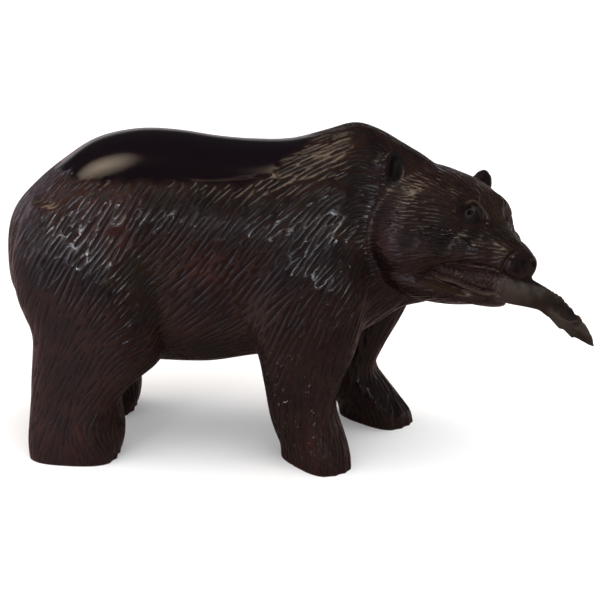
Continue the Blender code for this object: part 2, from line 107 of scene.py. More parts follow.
# %% Legs: z, x and y of the middle, half length, half width, heading of the long side in degrees
HIND_LEG = (
    (142, -108, 22, 34, 20, 0),
    (116, -110, 28, 41, 24.5, 0),
    (92, -109, 31, 40.3, 25, 0),
    (72, -105.2, 32, 36.6, 23.5, 0),
    (58, -106.7, 33, 35.2, 21.5, 0),
    (46, -113.7, 33, 29.4, 19.5, 0),
    (33, -119.4, 33, 24.5, 18, 0),
    (20, -119.2, 34, 26, 18.5, 0),
    (10, -119.8, 34.5, 26.2, 19, 0),
    (0, -121, 34.5, 24.6, 18.5, 0),
    (-8, -121, 34.5, 23.5, 17, 0),
)
FAR_HIND_STEP = -4.5
NEAR_FORELEG = (
    (142, 15, -22, 24, 15, 0),
    (126, 10, -28, 31, 19, 0),
    (108, 8, -32, 34, 20.5, 0),
    (92, 6, -33, 33, 20.5, 0),
    (78, 6, -34, 30, 20, 0),
    (64, 6.5, -34, 25.5, 18.5, 0),
    (52, 5.2, -34, 21.8, 17.5, 0),
    (42, 4.2, -33.5, 19.2, 16.5, 0),
    (32, 4.4, -32.5, 17.8, 15.5, -12),
    (24, 6.3, -31.5, 19, 14.5, -28),
    (15, 9, -31, 21.5, 14, -40),
    (7, 11.2, -30.5, 23, 13.5, -47),
    (0, 11.4, -30, 23, 13.5, -47),
    (-8, 11.4, -30, 22, 12.5, -47),
)
FAR_FORELEG = (
    (142, 20, 18, 24, 15, 0),
    (126, 20, 24, 28, 18, 0),
    (108, 24, 28, 30, 20, 0),
    (92, 31, 30, 28, 19.5, 0),
    (78, 33.5, 31, 24.5, 18.5, 0),
    (64, 30.8, 32, 21.3, 17.5, 0),
    (52, 26.8, 32.5, 18.8, 16.5, 0),
    (42, 23.4, 33, 17.4, 15.5, 0),
    (33, 21.2, 33.5, 16.6, 15, -8),
    (24, 26, 34, 18.5, 14.5, -22),
    (14, 32.6, 35.5, 21.5, 14, -32),
    (6, 37.6, 37, 23, 14, -36),
    (0, 38.2, 37.5, 23, 14, -36),
    (-8, 40.5, 37.5, 22, 13, -36),
)

# %% Head: where its own frame stands, how far it turns to the right, and how far it leans to the left
HEAD_PLACE = (68.7, -7.5, 135.9)
HEAD_TURN = 48.6
HEAD_LEAN = 15.8

# %% Head masses in the head's frame: forward, side, top, height where it is widest, bottom, half width
SKULL = (
    (-30, -1, 10, -6, -20, 15),
    (-22, -2, 20, -7, -28, 28),
    (-8, -2, 26, -8, -34, 37),
    (8, -2.5, 26.4, -10, -37, 39.5),
    (22, -2.5, 25.7, -13, -37, 38),
    (34, -1.5, 22.6, -14, -33, 32.5),
    (44, -0.5, 17.8, -13, -22, 27.8),
    (54, 0, 9.6, -10, -16.5, 20.5),
    (65, 0, 4.6, -8, -14.5, 14.5),
    (73, 0, 2, -7.5, -15, 11.2),
    (80, 0, -1, -7.5, -14.5, 8.5),
    (82.5, 0, -3, -8, -13, 6),
)
LOWER_JAW = (
    (6, -3, -12, -26, -40, 30),
    (18, -3, -16, -29, -42.5, 30),
    (30, -2, -21, -30, -41.5, 28),
    (42, -1, -26.5, -31.5, -38, 23),
    (53, 0, -28.5, -32, -35.5, 17),
    (62, 0, -28.5, -31, -34, 11.5),
    (67, 0, -28.5, -30, -31.5, 6),
)
MOUTHFUL = (
    (28, 0, -14, -22, -32, 23),
    (44, 0, -12, -22, -31, 21),
    (54, 0, -11, -22, -31, 16),
    (64, 0, -10, -21, -31, 10.5),
    (71, 0, -11, -20, -28, 6.5),
)

# %% Fish: x, y, z of its middle line, half thickness and half depth, from inside the mouth to the tail
FISH = (
    (80, -46, 119.5, 4, 5.5),
    (91, -53, 119.5, 6.5, 8.5),
    (103, -60.5, 118.7, 7.5, 9.7),
    (114, -66.5, 116.5, 6.5, 9),
    (124, -69.5, 114, 4.8, 7.2),
    (131, -70.5, 111.5, 3.6, 6.2),
    (137, -71, 107.6, 2.6, 6.6),
)
TAIL_FIN_OUTLINE = (
    (128, 115.5), (134, 115.8), (141, 111.5), (149, 103.5), (155, 94.8), (158, 87.5),
    (153, 88.5), (147.5, 93), (145.5, 92.3), (140.5, 97.3), (138.5, 97), (132.5, 104), (129.5, 108),
)
TAIL_FIN_MIDDLE = -71.5
TAIL_FIN_THICKNESS = 3.4
NEAR_EAR_PLACE = (1.4, -34.4, 20.8)
NEAR_EAR_HALF_SIZE = (3.8, 7.8, 10.4)
FAR_EAR_PLACE = (0.2, 30.8, 19.0)
FAR_EAR_HALF_SIZE = (3.8, 8.0, 10.0)

# %% [markdown]
# ## From sections to a skin
#
# The sections of one mass are rings of edges. In edit mode they are bridged like the hoops of a
# barrel, and the two ends are filled. Bridging is chosen over stretching a sphere because the rings
# keep the profile exactly where the table puts it.

# %% Section helpers
def smooth_rows(rows, steps):
    """Rows read from a Catmull-Rom curve through the given rows, steps of them in each stretch."""
    rows = np.array(rows, dtype=float)
    padded = np.vstack((2 * rows[0] - rows[1], rows, 2 * rows[-1] - rows[-2]))
    t = (np.arange(steps) / steps)[:, None]
    out = []
    for a, b, c, d in zip(padded, padded[1:], padded[2:], padded[3:]):
        out.append(b + 0.5 * t * (c - a + t * (2 * a - 5 * b + 4 * c - d + t * (3 * (b - c) + d - a))))
    out.append(rows[-1:])
    return np.vstack(out)


def round_section(power=SUPERELLIPSE):
    """Two coordinates, -1 to 1, round a superellipse."""
    angles = np.arange(RING_POINTS) * 2 * math.pi / RING_POINTS
    across = np.cos(angles)
    up = np.sin(angles)
    return (np.sign(across) * np.abs(across) ** (2 / power), np.sign(up) * np.abs(up) ** (2 / power))


def head_axes():
    """The head's forward, left and up directions, as rows."""
    turn = math.radians(HEAD_TURN)
    lean = math.radians(HEAD_LEAN)
    forward = np.array((math.cos(turn), -math.sin(turn), 0.0))
    level_left = np.array((math.sin(turn), math.cos(turn), 0.0))
    level_up = np.array((0.0, 0.0, 1.0))
    left = level_left * math.cos(lean) - level_up * math.sin(lean)
    return np.array((forward, left, np.cross(forward, left)))


def head_point(place, side=1):
    """World place, in metres, of a point in the head's frame; side -1 takes the other side's."""
    local = np.array((place[0], side * place[1], place[2]))
    return (np.array(HEAD_PLACE) + local @ head_axes()) * PART


def only(obj):
    """Makes this the one selected and active object."""
    bpy.ops.object.select_all(action="DESELECT")
    obj.select_set(True)
    bpy.context.view_layer.objects.active = obj


def edit_whole(obj, *steps):
    """Runs mesh operators, one after another, on all of the object."""
    only(obj)
    bpy.ops.object.mode_set(mode="EDIT")
    for step, settings in steps:
        bpy.ops.mesh.select_all(action="SELECT")
        step(**settings)
    bpy.ops.object.mode_set(mode="OBJECT")


def skin_over(name, rings):
    """A closed mesh bridged over rings of points, filled at both ends."""
    count, sides = rings.shape[:2]
    edges = [(ring * sides + side, ring * sides + (side + 1) % sides)
             for ring in range(count) for side in range(sides)]
    mesh = bpy.data.meshes.new(name)
    mesh.from_pydata((rings.reshape(-1, 3) * PART).tolist(), edges, [])
    obj = bpy.data.objects.new(name, mesh)
    bpy.context.collection.objects.link(obj)
    edit_whole(
        obj,
        (bpy.ops.mesh.bridge_edge_loops, {}),
        (bpy.ops.mesh.fill_holes, {"sides": 0}),
        (bpy.ops.mesh.normals_make_consistent, {"inside": False}),
    )
    return obj


# %% Masses from the tables
def lengthwise_mass(name, rows, origin=(0, 0, 0), axes=np.eye(3)):
    """A mass along its own first axis, from rows laid out as in TRUNK."""
    across, up = round_section()
    rings = []
    for along, side, top, middle, bottom, half_width in smooth_rows(rows, 6):
        height = np.where(up > 0, up * (top - middle), up * (middle - bottom))
        flat = np.full_like(across, along)
        local = np.stack((flat, side + across * half_width, middle + height), axis=1)
        rings.append(np.array(origin) + local @ axes)
    return skin_over(name, np.array(rings))


def leg_mass(name, rows, side=1, step=0):
    """A leg, from rows laid out as in HIND_LEG; side -1 mirrors it, and step moves it along X."""
    across, up = round_section(LEG_SUPERELLIPSE)
    rings = []
    for height, x, y, half_length, half_width, heading in smooth_rows(rows, 5):
        turn = math.radians(heading)
        along = across * half_length
        wide = up * half_width
        ring_x = x + step + along * math.cos(turn) - wide * math.sin(turn)
        ring_y = y + along * math.sin(turn) + wide * math.cos(turn)
        rings.append(np.stack((ring_x, side * ring_y, np.full_like(across, height)), axis=1))
    return skin_over(name, np.array(rings))


def ear_mass(name, place, half_size):
    """An upright round ear."""
    across, up = round_section(2)
    half_thick, half_wide, half_high = half_size
    middle = np.array(place)
    rings = []
    for t in np.linspace(-0.96, 0.96, 13):
        reach = math.sqrt(1 - t * t)
        depth = np.full_like(across, t * half_thick)
        ring = np.stack((depth, across * reach * half_wide, up * reach * half_high), axis=1)
        rings.append(np.array(HEAD_PLACE) + (middle + ring) @ head_axes())
    return skin_over(name, np.array(rings))


def fish_mass(name):
    """The fish's body along its bent middle line."""
    across, up = round_section(2)
    rows = smooth_rows(FISH, 6)
    middle = rows[:, :3]
    heading = np.gradient(middle, axis=0)
    heading /= np.linalg.norm(heading, axis=1)[:, None]
    rings = []
    for place, along, half_thick, half_deep in zip(middle, heading, rows[:, 3], rows[:, 4]):
        side = np.cross(along, (0, 0, 1))
        side /= np.linalg.norm(side)
        over = np.cross(side, along)
        rings.append(place + np.outer(across * half_thick, side) + np.outer(up * half_deep, over))
    return skin_over(name, np.array(rings))


def tail_fin_mass(name):
    """The fish's fanned tail, a flat plate on edge."""
    half = TAIL_FIN_THICKNESS / 2
    rings = [[(x, TAIL_FIN_MIDDLE + side * half, z) for x, z in TAIL_FIN_OUTLINE] for side in (-1, 1)]
    return skin_over(name, np.array(rings))


# %% [markdown]
# ## One block
#
# The masses overlap like lumps of clay. A voxel remesh melts them into one closed skin, and a long
# smoothing, held back at the muzzle and the tail fin, takes the seams away.

# %% Mesh helpers
HEAD_BORDER = (46, 56)
SOFTEN_STEPS = 10


def apply_all(obj):
    """Applies the object's modifiers, first to last."""
    only(obj)
    for modifier in list(obj.modifiers):
        bpy.ops.object.modifier_apply(modifier=modifier.name)


def read_all(items, name, kind=np.int32, width=1):
    """One property of all items, as an array."""
    values = np.empty(len(items) * width, dtype=kind)
    items.foreach_get(name, values)
    return values


def mesh_arrays(mesh):
    """The mesh's points and vertex normals as arrays."""
    points = read_all(mesh.vertices, "co", np.float32, 3)
    normals = read_all(mesh.vertex_normals, "vector", np.float32, 3)
    return points.reshape(-1, 3).astype(float), normals.reshape(-1, 3).astype(float)


def set_points(mesh, points):
    """Puts the mesh's points where the array says."""
    mesh.vertices.foreach_set("co", points.astype(np.float32).ravel())
    mesh.update()


def smooth_step(low, high, value):
    """0 below low, 1 above high, and an even curve between."""
    t = np.clip((value - low) / (high - low), 0, 1)
    return t * t * (3 - 2 * t)


def head_places(points):
    """The points in the head's frame, in parts."""
    return (points / PART - np.array(HEAD_PLACE)) @ head_axes().T


def head_share(points, behind=-26, ahead=-4):
    """1 on the head, 0 on the rest, with a soft border between two places along the head."""
    local = head_places(points)
    off_axis = np.linalg.norm(local[:, 1:], axis=1)
    return smooth_step(behind, ahead, local[:, 0]) * (1 - smooth_step(*HEAD_BORDER, off_axis))


def soften(obj, rounds, share):
    """Smooths the mesh, each point by its share."""
    group = obj.vertex_groups.new(name="Soft")
    for level in range(1, SOFTEN_STEPS + 1):
        chosen = np.flatnonzero(np.round(share * SOFTEN_STEPS) == level)
        group.add(chosen.tolist(), level / SOFTEN_STEPS, "REPLACE")
    relax = obj.modifiers.new("Soften", "SMOOTH")
    relax.factor = 0.5
    relax.iterations = rounds
    relax.vertex_group = group.name
    apply_all(obj)
    obj.vertex_groups.clear()


# %% Melt the masses into one skin
BODY_SMOOTH_ROUNDS = 60
LAST_SMOOTH_ROUNDS = 4
CRISP_HEAD = (4, 30)
CRISP_FISH = (100, 112)


def rough_form():
    """All the masses in one smooth skin, before any carving."""
    axes = head_axes()
    masses = [
        lengthwise_mass("trunk", TRUNK),
        leg_mass("near_hind_leg", HIND_LEG, -1),
        leg_mass("far_hind_leg", HIND_LEG, 1, FAR_HIND_STEP),
        leg_mass("near_foreleg", NEAR_FORELEG),
        leg_mass("far_foreleg", FAR_FORELEG),
        lengthwise_mass("skull", SKULL, HEAD_PLACE, axes),
        lengthwise_mass("lower_jaw", LOWER_JAW, HEAD_PLACE, axes),
        ear_mass("near_ear", NEAR_EAR_PLACE, NEAR_EAR_HALF_SIZE),
        ear_mass("far_ear", FAR_EAR_PLACE, FAR_EAR_HALF_SIZE),
        lengthwise_mass("mouthful", MOUTHFUL, HEAD_PLACE, axes),
        fish_mass("fish"),
        tail_fin_mass("tail_fin"),
    ]
    for mass in masses:
        mass.select_set(True)
    bpy.context.view_layer.objects.active = masses[0]
    bpy.ops.object.join()
    form = bpy.context.object
    form.name = "bear_with_fish"
    skin = form.modifiers.new("One skin", "REMESH")
    skin.mode = "VOXEL"
    skin.voxel_size = VOXEL * PART
    apply_all(form)
    points, _ = mesh_arrays(form.data)
    crisp = head_share(points, *CRISP_HEAD)
    beyond = smooth_step(*CRISP_FISH, points[:, 0] / PART)
    soften(form, BODY_SMOOTH_ROUNDS, (1 - crisp) * (1 - beyond))
    soften(form, LAST_SMOOTH_ROUNDS, 1 - beyond)
    return form


bear = rough_form()
print("The rough form has", len(bear.data.vertices), "points")

# %% [markdown]
# ## The face, broadly
#
# Brows, eye sockets, nostrils and the valley between cheek and muzzle are pressed in while the skin
# is still plain. A dome-shaped brush moves the points along their normals, as a rasp does the wood.

# %% Brushes and the broad hollows of the face
EYE_PLACE = (48.7, -13.6, 10.0)
EYE_OUTWARD = (0.5, -0.7, 0.5)
FOLD_SMOOTH_ROUNDS = 45
FACE_DENTS = (
    ((40.5, -12.5, 17.5), 11.0, -1.4),
    (EYE_PLACE, 9.5, 3.4),
    ((47.0, -22.0, -1.0), 9.0, 1.2),
    ((46.0, -24.0, -9.0), 9.0, 1.2),
    ((62.0, -14.0, -8.0), 9.0, -1.0),
)
FAR_FACE_DENTS = (((45.8, 21.5, 6.0), 9.0, 3.6), ((62.0, 10.0, 3.0), 9.0, 1.5))


def dome(points, centre, radius):
    """1 at the centre, falling smoothly to 0 at the radius."""
    distance = np.linalg.norm(points - centre, axis=1) / radius
    return np.clip(1 - distance ** 2, 0, None) ** 2


def press(points, normals, place, radius, depth, side=1):
    """A soft dent at a place of the head, or a swelling where the depth is negative."""
    amount = depth * PART * dome(points, head_point(place, side), radius * PART)
    return points - normals * amount[:, None]


def press_all(obj, dents, side=1):
    """Presses dents of the face in; side -1 takes the other side's."""
    points, normals = mesh_arrays(obj.data)
    for place, radius, depth in dents:
        points = press(points, normals, place, radius, depth, side)
    set_points(obj.data, points)


press_all(bear, FACE_DENTS)
press_all(bear, FACE_DENTS, -1)
press_all(bear, FAR_FACE_DENTS)
share = head_share(mesh_arrays(bear.data)[0])
soften(bear, FOLD_SMOOTH_ROUNDS, 4 * share * (1 - share))

# %% [markdown]
# ## The paws
#
# Each paw has four toes, parted by short round grooves that run from the wrist to the tip.

# %% Toes
TOE_GROOVES = (-0.5, 0.0, 0.5)
TOE_GROOVE_REACH = (0.62, 1.04)
TOE_GROOVE_SPREAD = (0.6, 1.0)
TOE_GROOVE_TOP = 15
TOE_GROOVE_HALF_WIDTH = 2.4
TOE_GROOVE_DEPTH = 1.5
TOE_GROOVE_DABS = 12
PAWS = ((HIND_LEG, -1, 0), (HIND_LEG, 1, FAR_HIND_STEP), (NEAR_FORELEG, 1, 0), (FAR_FORELEG, 1, 0))


def paw_frame(rows, side, step):
    """The middle, the long and the cross direction and the half sizes of a paw at the ground."""
    _, x, y, half_length, half_width, heading = next(row for row in rows if row[0] == 0)
    turn = math.radians(side * heading)
    along = np.array((math.cos(turn), math.sin(turn), 0))
    across = np.array((-math.sin(turn), math.cos(turn), 0))
    return np.array((x + step, side * y, 0.0)), along, across, half_length, half_width


def carve_toes(obj):
    """Grooves that part the toes, from the wrist down over the front of each paw."""
    points, normals = mesh_arrays(obj.data)
    depth = np.zeros(len(points))
    for paw in PAWS:
        middle, along, across, half_length, half_width = paw_frame(*paw)
        for share in TOE_GROOVES:
            for t in np.linspace(0, 1, TOE_GROOVE_DABS):
                reach = half_length * np.interp(t, (0, 1), TOE_GROOVE_REACH)
                aside = half_width * share * np.interp(t, (0, 1), TOE_GROOVE_SPREAD)
                place = middle + along * reach + across * aside
                place[2] = TOE_GROOVE_TOP * (1 - t)
                cut = dome(points, place * PART, 2 * TOE_GROOVE_HALF_WIDTH * PART)
                depth = np.maximum(depth, cut * TOE_GROOVE_DEPTH * PART)
    set_points(obj.data, points - normals * depth[:, None])


carve_toes(bear)

# %% [markdown]
# ## The fur
#
# The carver followed the lie of the coat: back and down over the flank, almost straight down the
# legs, fanning out over the paws, and from the nose back over the head. The same flow is read here
# from a few slopes noted in the side view. Strokes are started at random, walked along the flow, and
# dropped where they come too close to another, so that they lie side by side as real cuts do.

# %% The coat's flow
FUR_SLOPES = (
    (-150, 130, 62), (-125, 95, 66), (-115, 50, 62), (-118, 20, 70), (-95, 130, 58), (-70, 100, 48),
    (-70, 65, 24), (-40, 130, 56), (-35, 70, 24), (-10, 110, 50), (0, 80, 60), (10, 130, 56),
    (12, 60, 80), (14, 25, 82), (25, 170, 34), (45, 150, 38), (50, 110, 52),
)
HEAD_FUR_SLOPE = 14
ANKLE_HEIGHT = 32
PAW_FAN = (14, 26)
WOBBLE_SIZE = 30
WOBBLE_DEGREES = 8


def fur_headings(points, normals):
    """The fur's direction along the skin at each point."""
    places = points / PART
    weights = np.zeros(len(places))
    slopes = np.zeros(len(places))
    for x, z, slope in FUR_SLOPES:
        weight = ((places[:, 0] - x) ** 2 + (places[:, 2] - z) ** 2 + 4) ** -1.5
        weights += weight
        slopes += weight * slope
    wobble = np.array([noise.noise(Vector(place) / WOBBLE_SIZE) for place in places])
    wobble *= math.radians(WOBBLE_DEGREES)
    slope = np.radians(slopes / weights) + wobble
    body = np.stack((-np.cos(slope), np.zeros(len(slope)), -np.sin(slope)), axis=1)
    forward, _, up = head_axes()
    face_slope = math.radians(HEAD_FUR_SLOPE) + wobble[:, None]
    face = -forward * np.cos(face_slope) - up * np.sin(face_slope)
    share = head_share(points)[:, None]
    flow = body * (1 - share) + face * share
    ankles = np.array([paw_frame(*paw)[0] for paw in PAWS]) + (0, 0, ANKLE_HEIGHT)
    nearest = np.argmin(np.linalg.norm(places[:, None] - ankles, axis=2), axis=1)
    fan = places - ankles[nearest]
    fan /= np.linalg.norm(fan, axis=1)[:, None]
    low = 1 - smooth_step(*PAW_FAN, places[:, 2])[:, None]
    flow = flow * (1 - low) + fan * low
    flow -= normals * (flow * normals).sum(axis=1)[:, None]
    return flow / np.maximum(np.linalg.norm(flow, axis=1), 1e-6)[:, None]


# %% Walking the strokes
FUR_SEED = 11
FUR_STEP = 0.8
FUR_RUN = (12, 32)
FUR_SWING = 7
FUR_CROWDING = 0.64
FUR_FEWEST_STEPS = 5


def point_tree(points):
    """A tree that finds the point nearest to a place."""
    tree = KDTree(len(points))
    for index, point in enumerate(points.tolist()):
        tree.insert(point, index)
    tree.balance()
    return tree


def trace_strokes(points, normals, keep, pitch):
    """Strokes that follow the flow at an even spacing, and the flow's heading at each point."""
    headings = fur_headings(points, normals)
    tree = point_tree(points)
    random = np.random.default_rng(FUR_SEED)
    cell = pitch.max() * PART
    taken = {}

    def crowded(place, reach):
        """Whether a stroke already runs within this reach."""
        corner = [int(math.floor(value / cell)) for value in place]
        for i in (-1, 0, 1):
            for j in (-1, 0, 1):
                for k in (-1, 0, 1):
                    for other in taken.get((corner[0] + i, corner[1] + j, corner[2] + k), ()):
                        if (other - place).length_squared < reach * reach:
                            return True
        return False

    strokes = []
    for seed in random.permutation(np.flatnonzero(keep)):
        start = Vector(points[seed])
        if crowded(start, pitch[seed] * PART):
            continue
        run = random.uniform(*FUR_RUN) * pitch[seed] / BODY_PITCH
        swing = math.tan(math.radians(random.uniform(-FUR_SWING, FUR_SWING)))
        stroke = []
        place = start
        index = seed
        while len(stroke) * FUR_STEP < run:
            if not keep[index] or crowded(place, FUR_CROWDING * pitch[index] * PART):
                break
            stroke.append((place, index))
            heading = Vector(headings[index])
            heading += Vector(normals[index]).cross(heading) * swing
            ahead = place + heading * FUR_STEP * PART
            nearest, index, _ = tree.find(ahead)
            place = ahead - Vector(normals[index]) * (ahead - nearest).dot(Vector(normals[index]))
        if len(stroke) < FUR_FEWEST_STEPS:
            continue
        for place, _ in stroke:
            corner = tuple(int(math.floor(value / cell)) for value in place)
            taken.setdefault(corner, []).append(place)
        strokes.append(stroke)
    return strokes, headings


# %% [markdown]
# ## Where the wood is left smooth
#
# The back was never cut: it is a polished saddle that ends in a slanted edge under the hump. The nose
# pad, the eyes, the lips and the fish are smooth too.

# %% Masks
SADDLE_EDGE = (154.5, 157.5)
SADDLE_REAR = (-136, -131)
SADDLE_REAR_SLANT = 1.2
SADDLE_FRONT = (-21, -18)
SADDLE_FRONT_SLANT = 1.55
SADDLE_FOOT = 158
SADDLE_RAGGED = 0.7
UPPER_LIP = ((36.7, -24.7, -25.7), (41.7, -23.4, -19.8), (49.3, -18.5, -16.1), (55.3, -13.4, -15.6),
             (67.1, -8.5, -13.6), (73, -6.7, -13.8))
LOWER_LIP = ((36.7, -24.4, -27.2), (43.8, -19.3, -25.6), (50.6, -16.7, -25.4), (57.5, -11.9, -26.5),
             (66, -8, -27.3), (71, -6.9, -26.5))
NOSE_BACK = 75.5
NOSE_SLANT = 3.5
NOSE_FLOOR = -15.5
SMOOTH_LIP = (5, 7)
LIP_START = (36, 40)
GAPE_START = (36, 39)
GAPE_END = (72, 76)
GAPE_EDGE = (-0.4, 1.0)
EDGE = (-0.5, 0.5)
MUZZLE_REACH = 45
FISH_START = (69, 71)


def polished_saddle(points):
    """1 on the smooth back between the rump and the hump."""
    places = points / PART
    places[:, 2] += SADDLE_RAGGED * (np.sin(places[:, 0] / 0.9) + np.sin(places[:, 0] / 2.3 + 1))
    above = places[:, 2] - SADDLE_FOOT
    rear = smooth_step(*SADDLE_REAR, places[:, 0] + np.minimum(above, 0) * SADDLE_REAR_SLANT * 2)
    front = 1 - smooth_step(*SADDLE_FRONT, places[:, 0] - above * SADDLE_FRONT_SLANT)
    return rear * front * smooth_step(*SADDLE_EDGE, places[:, 2])


def lip_heights(ahead):
    """Height of the upper and the lower lip at these places along the head."""
    upper = np.array(UPPER_LIP)
    lower = np.array(LOWER_LIP)
    return np.interp(ahead, upper[:, 0], upper[:, 2]), np.interp(ahead, lower[:, 0], lower[:, 2])


def face_masks(points):
    """Shares, 0 to 1, of the open mouth, the nose pad and the smooth lower lip."""
    local = head_places(points)
    upper, lower = lip_heights(local[:, 0])
    inside = smooth_step(*GAPE_EDGE, upper - local[:, 2]) * smooth_step(*GAPE_EDGE, local[:, 2] - lower)
    muzzle = np.linalg.norm(local[:, 1:], axis=1) < MUZZLE_REACH
    gape = inside * smooth_step(*GAPE_START, local[:, 0])
    gape = gape * (1 - smooth_step(*GAPE_END, local[:, 0])) * muzzle
    pad_edge = NOSE_BACK + NOSE_SLANT * smooth_step(-12, 0, local[:, 2])
    pad = smooth_step(*EDGE, local[:, 0] - pad_edge) * smooth_step(*EDGE, local[:, 2] - NOSE_FLOOR) * muzzle
    below = lower - local[:, 2]
    lip = smooth_step(*EDGE, below) * (1 - smooth_step(*SMOOTH_LIP, below))
    lip *= smooth_step(*LIP_START, local[:, 0]) * muzzle
    return gape, pad, lip


def fish_share(points):
    """1 on the part of the fish that is outside the mouth."""
    local = head_places(points)
    return smooth_step(*FISH_START, local[:, 0]) * smooth_step(*EDGE, NOSE_FLOOR - local[:, 2])


# %% Lay out the strokes
BODY_PITCH = 2.4
LEG_PITCH = 2.2
HEAD_PITCH = 1.6
FAR_SIDE = (5, 30)
FAR_SIDE_SPREAD = 0.3
UNDER_SIDE = (0.3, 0.8)
UNDER_SIDE_SPREAD = 0.5
LEG_TOP = (40, 60)
EYE_CLEAR = 7.6
EAR_FRONT = (3.6, 0, 1)
EAR_CLEAR = 6.0
SOLE_CLEAR = 1.2

points, normals = mesh_arrays(bear.data)
share = head_share(points)
low = 1 - smooth_step(*LEG_TOP, points[:, 2] / PART)
pitch = BODY_PITCH + (LEG_PITCH - BODY_PITCH) * low
pitch += (HEAD_PITCH - pitch) * share
pitch *= 1 + FAR_SIDE_SPREAD * smooth_step(*FAR_SIDE, points[:, 1] / PART)
pitch *= 1 + UNDER_SIDE_SPREAD * smooth_step(*UNDER_SIDE, -normals[:, 2])
gape, pad, lip = face_masks(points)
bare = np.maximum.reduce((polished_saddle(points), gape, pad, lip, fish_share(points)))
furred = (bare < 0.5) & (points[:, 2] > SOLE_CLEAR * PART)
for side in (1, -1):
    furred &= np.linalg.norm(points - head_point(EYE_PLACE, side), axis=1) > EYE_CLEAR * PART
for ear in (NEAR_EAR_PLACE, FAR_EAR_PLACE):
    front = head_point(np.array(ear) + EAR_FRONT)
    furred &= np.linalg.norm(points - front, axis=1) > EAR_CLEAR * PART
strokes, headings = trace_strokes(points, normals, furred, pitch)
print(len(strokes), "fur strokes")

# %% [markdown]
# ## The cuts
#
# The skin is refined once so that a cut is several points wide. Every stroke is then a tapered
# groove, and where two meet the deeper one wins, which leaves the flat-topped ridges of real gouge work.

# %% Cut the strokes
CUT_DEPTH = (0.5, 1.0)
CUT_HALF_WIDTH = 0.34
CUT_SEED = 5


def refine(obj):
    """Splits every face in four, smoothly."""
    finer = obj.modifiers.new("Finer", "SUBSURF")
    finer.levels = 1
    finer.render_levels = 1
    apply_all(obj)


def stroke_depths(points, tree, strokes, headings, pitch):
    """How deep the fur strokes cut each point, in metres."""
    random = np.random.default_rng(CUT_SEED)
    hit = []
    samples = []
    places = []
    along = []
    reaches = []
    depths = []
    for stroke in strokes:
        strength = random.uniform(*CUT_DEPTH)
        for number, (place, index) in enumerate(stroke):
            taper = math.sin(math.pi * (number + 0.6) / (len(stroke) + 0.2)) ** 0.5
            reach = CUT_HALF_WIDTH * pitch[index] * PART
            near = tree.find_range(place, reach * 1.2)
            hit.extend([other for _, other, _ in near])
            samples.extend([len(places)] * len(near))
            places.append(place)
            along.append(headings[index])
            reaches.append(reach)
            depths.append(strength * taper * pitch[index] / BODY_PITCH * PART)
    hit = np.array(hit)
    samples = np.array(samples)
    offset = points[hit] - np.array(places)[samples]
    lengthwise = (offset * np.array(along)[samples]).sum(axis=1)
    half_step = FUR_STEP * PART / 2
    offset -= np.array(along)[samples] * np.clip(lengthwise, -half_step, half_step)[:, None]
    aside = np.linalg.norm(offset, axis=1) / np.array(reaches)[samples]
    depth = np.zeros(len(points))
    np.maximum.at(depth, hit, np.array(depths)[samples] * np.clip(1 - aside, 0, None))
    return depth


refine(bear)
points, normals = mesh_arrays(bear.data)
tree = point_tree(points)
fur_depth = stroke_depths(points, tree, strokes, headings, pitch)
print("The fine skin has", len(bear.data.vertices), "points")

# %% [markdown]
# ## Lines of the face and the paws
#
# Lips, eyelids, the nose pad's edge, the cheek folds and the paws' ridges are lines on the skin. A
# line is a few places joined by a smooth curve and dropped on to the nearest skin, then cut in or
# raised.

# %% Lines on the skin
LINE_STEP = 0.4
NOSE_EDGE = ((73.6, -6.4, -15.2), (74.6, -8.6, -12), (75.8, -8.8, -8), (77.4, -7.6, -3.2), (78.6, -5, -1))
FISH_COLLAR = ((74.2, -7.6, -15.8), (75.6, -7.2, -19), (75, -6.8, -23), (73, -7, -26.2))
CHEEK_FOLD = ((50, -17, 3), (47, -22, -4), (44.5, -24.5, -12), (42, -24, -17))
LID_LINES = ((((-7.0, -2.5), (-5.0, -5.4), (-1.0, -7.0), (3.5, -6.6), (7.6, -4.8)), 0.8, -0.7),)
EYE_LINES = (
    (((-8.6, 3.0), (-6.2, 6.6), (-2.2, 8.4)), 1.2, -0.5),
    (((7.0, -2.5), (8.0, 1.0), (7.4, 4.5)), 1.8, 1.2),
)
BROW_KNOBS = (((43.7, -14, 13.5), 2.8, -1.4), ((43.4, -9.4, 16.4), 3.2, -1.6),
              ((50, -7.4, 14.6), 3.0, -0.8))
SADDLE_LINE = ((-54, -34.8, 157.5), (-44, -34.4, 157.6), (-27, -32.7, 158.6), (-20, -32.1, 160))
FIN_RIDGE = ((133.6, -73.5, 106.2), (138, -73.5, 103.2), (141.8, -73.5, 101.6), (145.5, -73.5, 100.9),
             (149, -73.5, 101.8))
PAW_RIDGES = (
    (((12, -46.5, 31), (14.5, -48.4, 23), (18, -50, 12.7), (20.6, -49.8, 1.7)), 2.4, -1.1),
    (((36, 19.5, 24), (40.2, 18.5, 15), (46, 17.6, 6), (49.7, 16, 0.5)), 2.4, -1.0),
)


def line_places(rows):
    """Places along a smooth curve through the rows, LINE_STEP apart."""
    curve = smooth_rows(rows, 12)
    runs = np.concatenate(([0], np.cumsum(np.linalg.norm(np.diff(curve, axis=0), axis=1))))
    at = np.arange(0, runs[-1], LINE_STEP)
    return np.stack([np.interp(at, runs, curve[:, axis]) for axis in range(3)], axis=1)


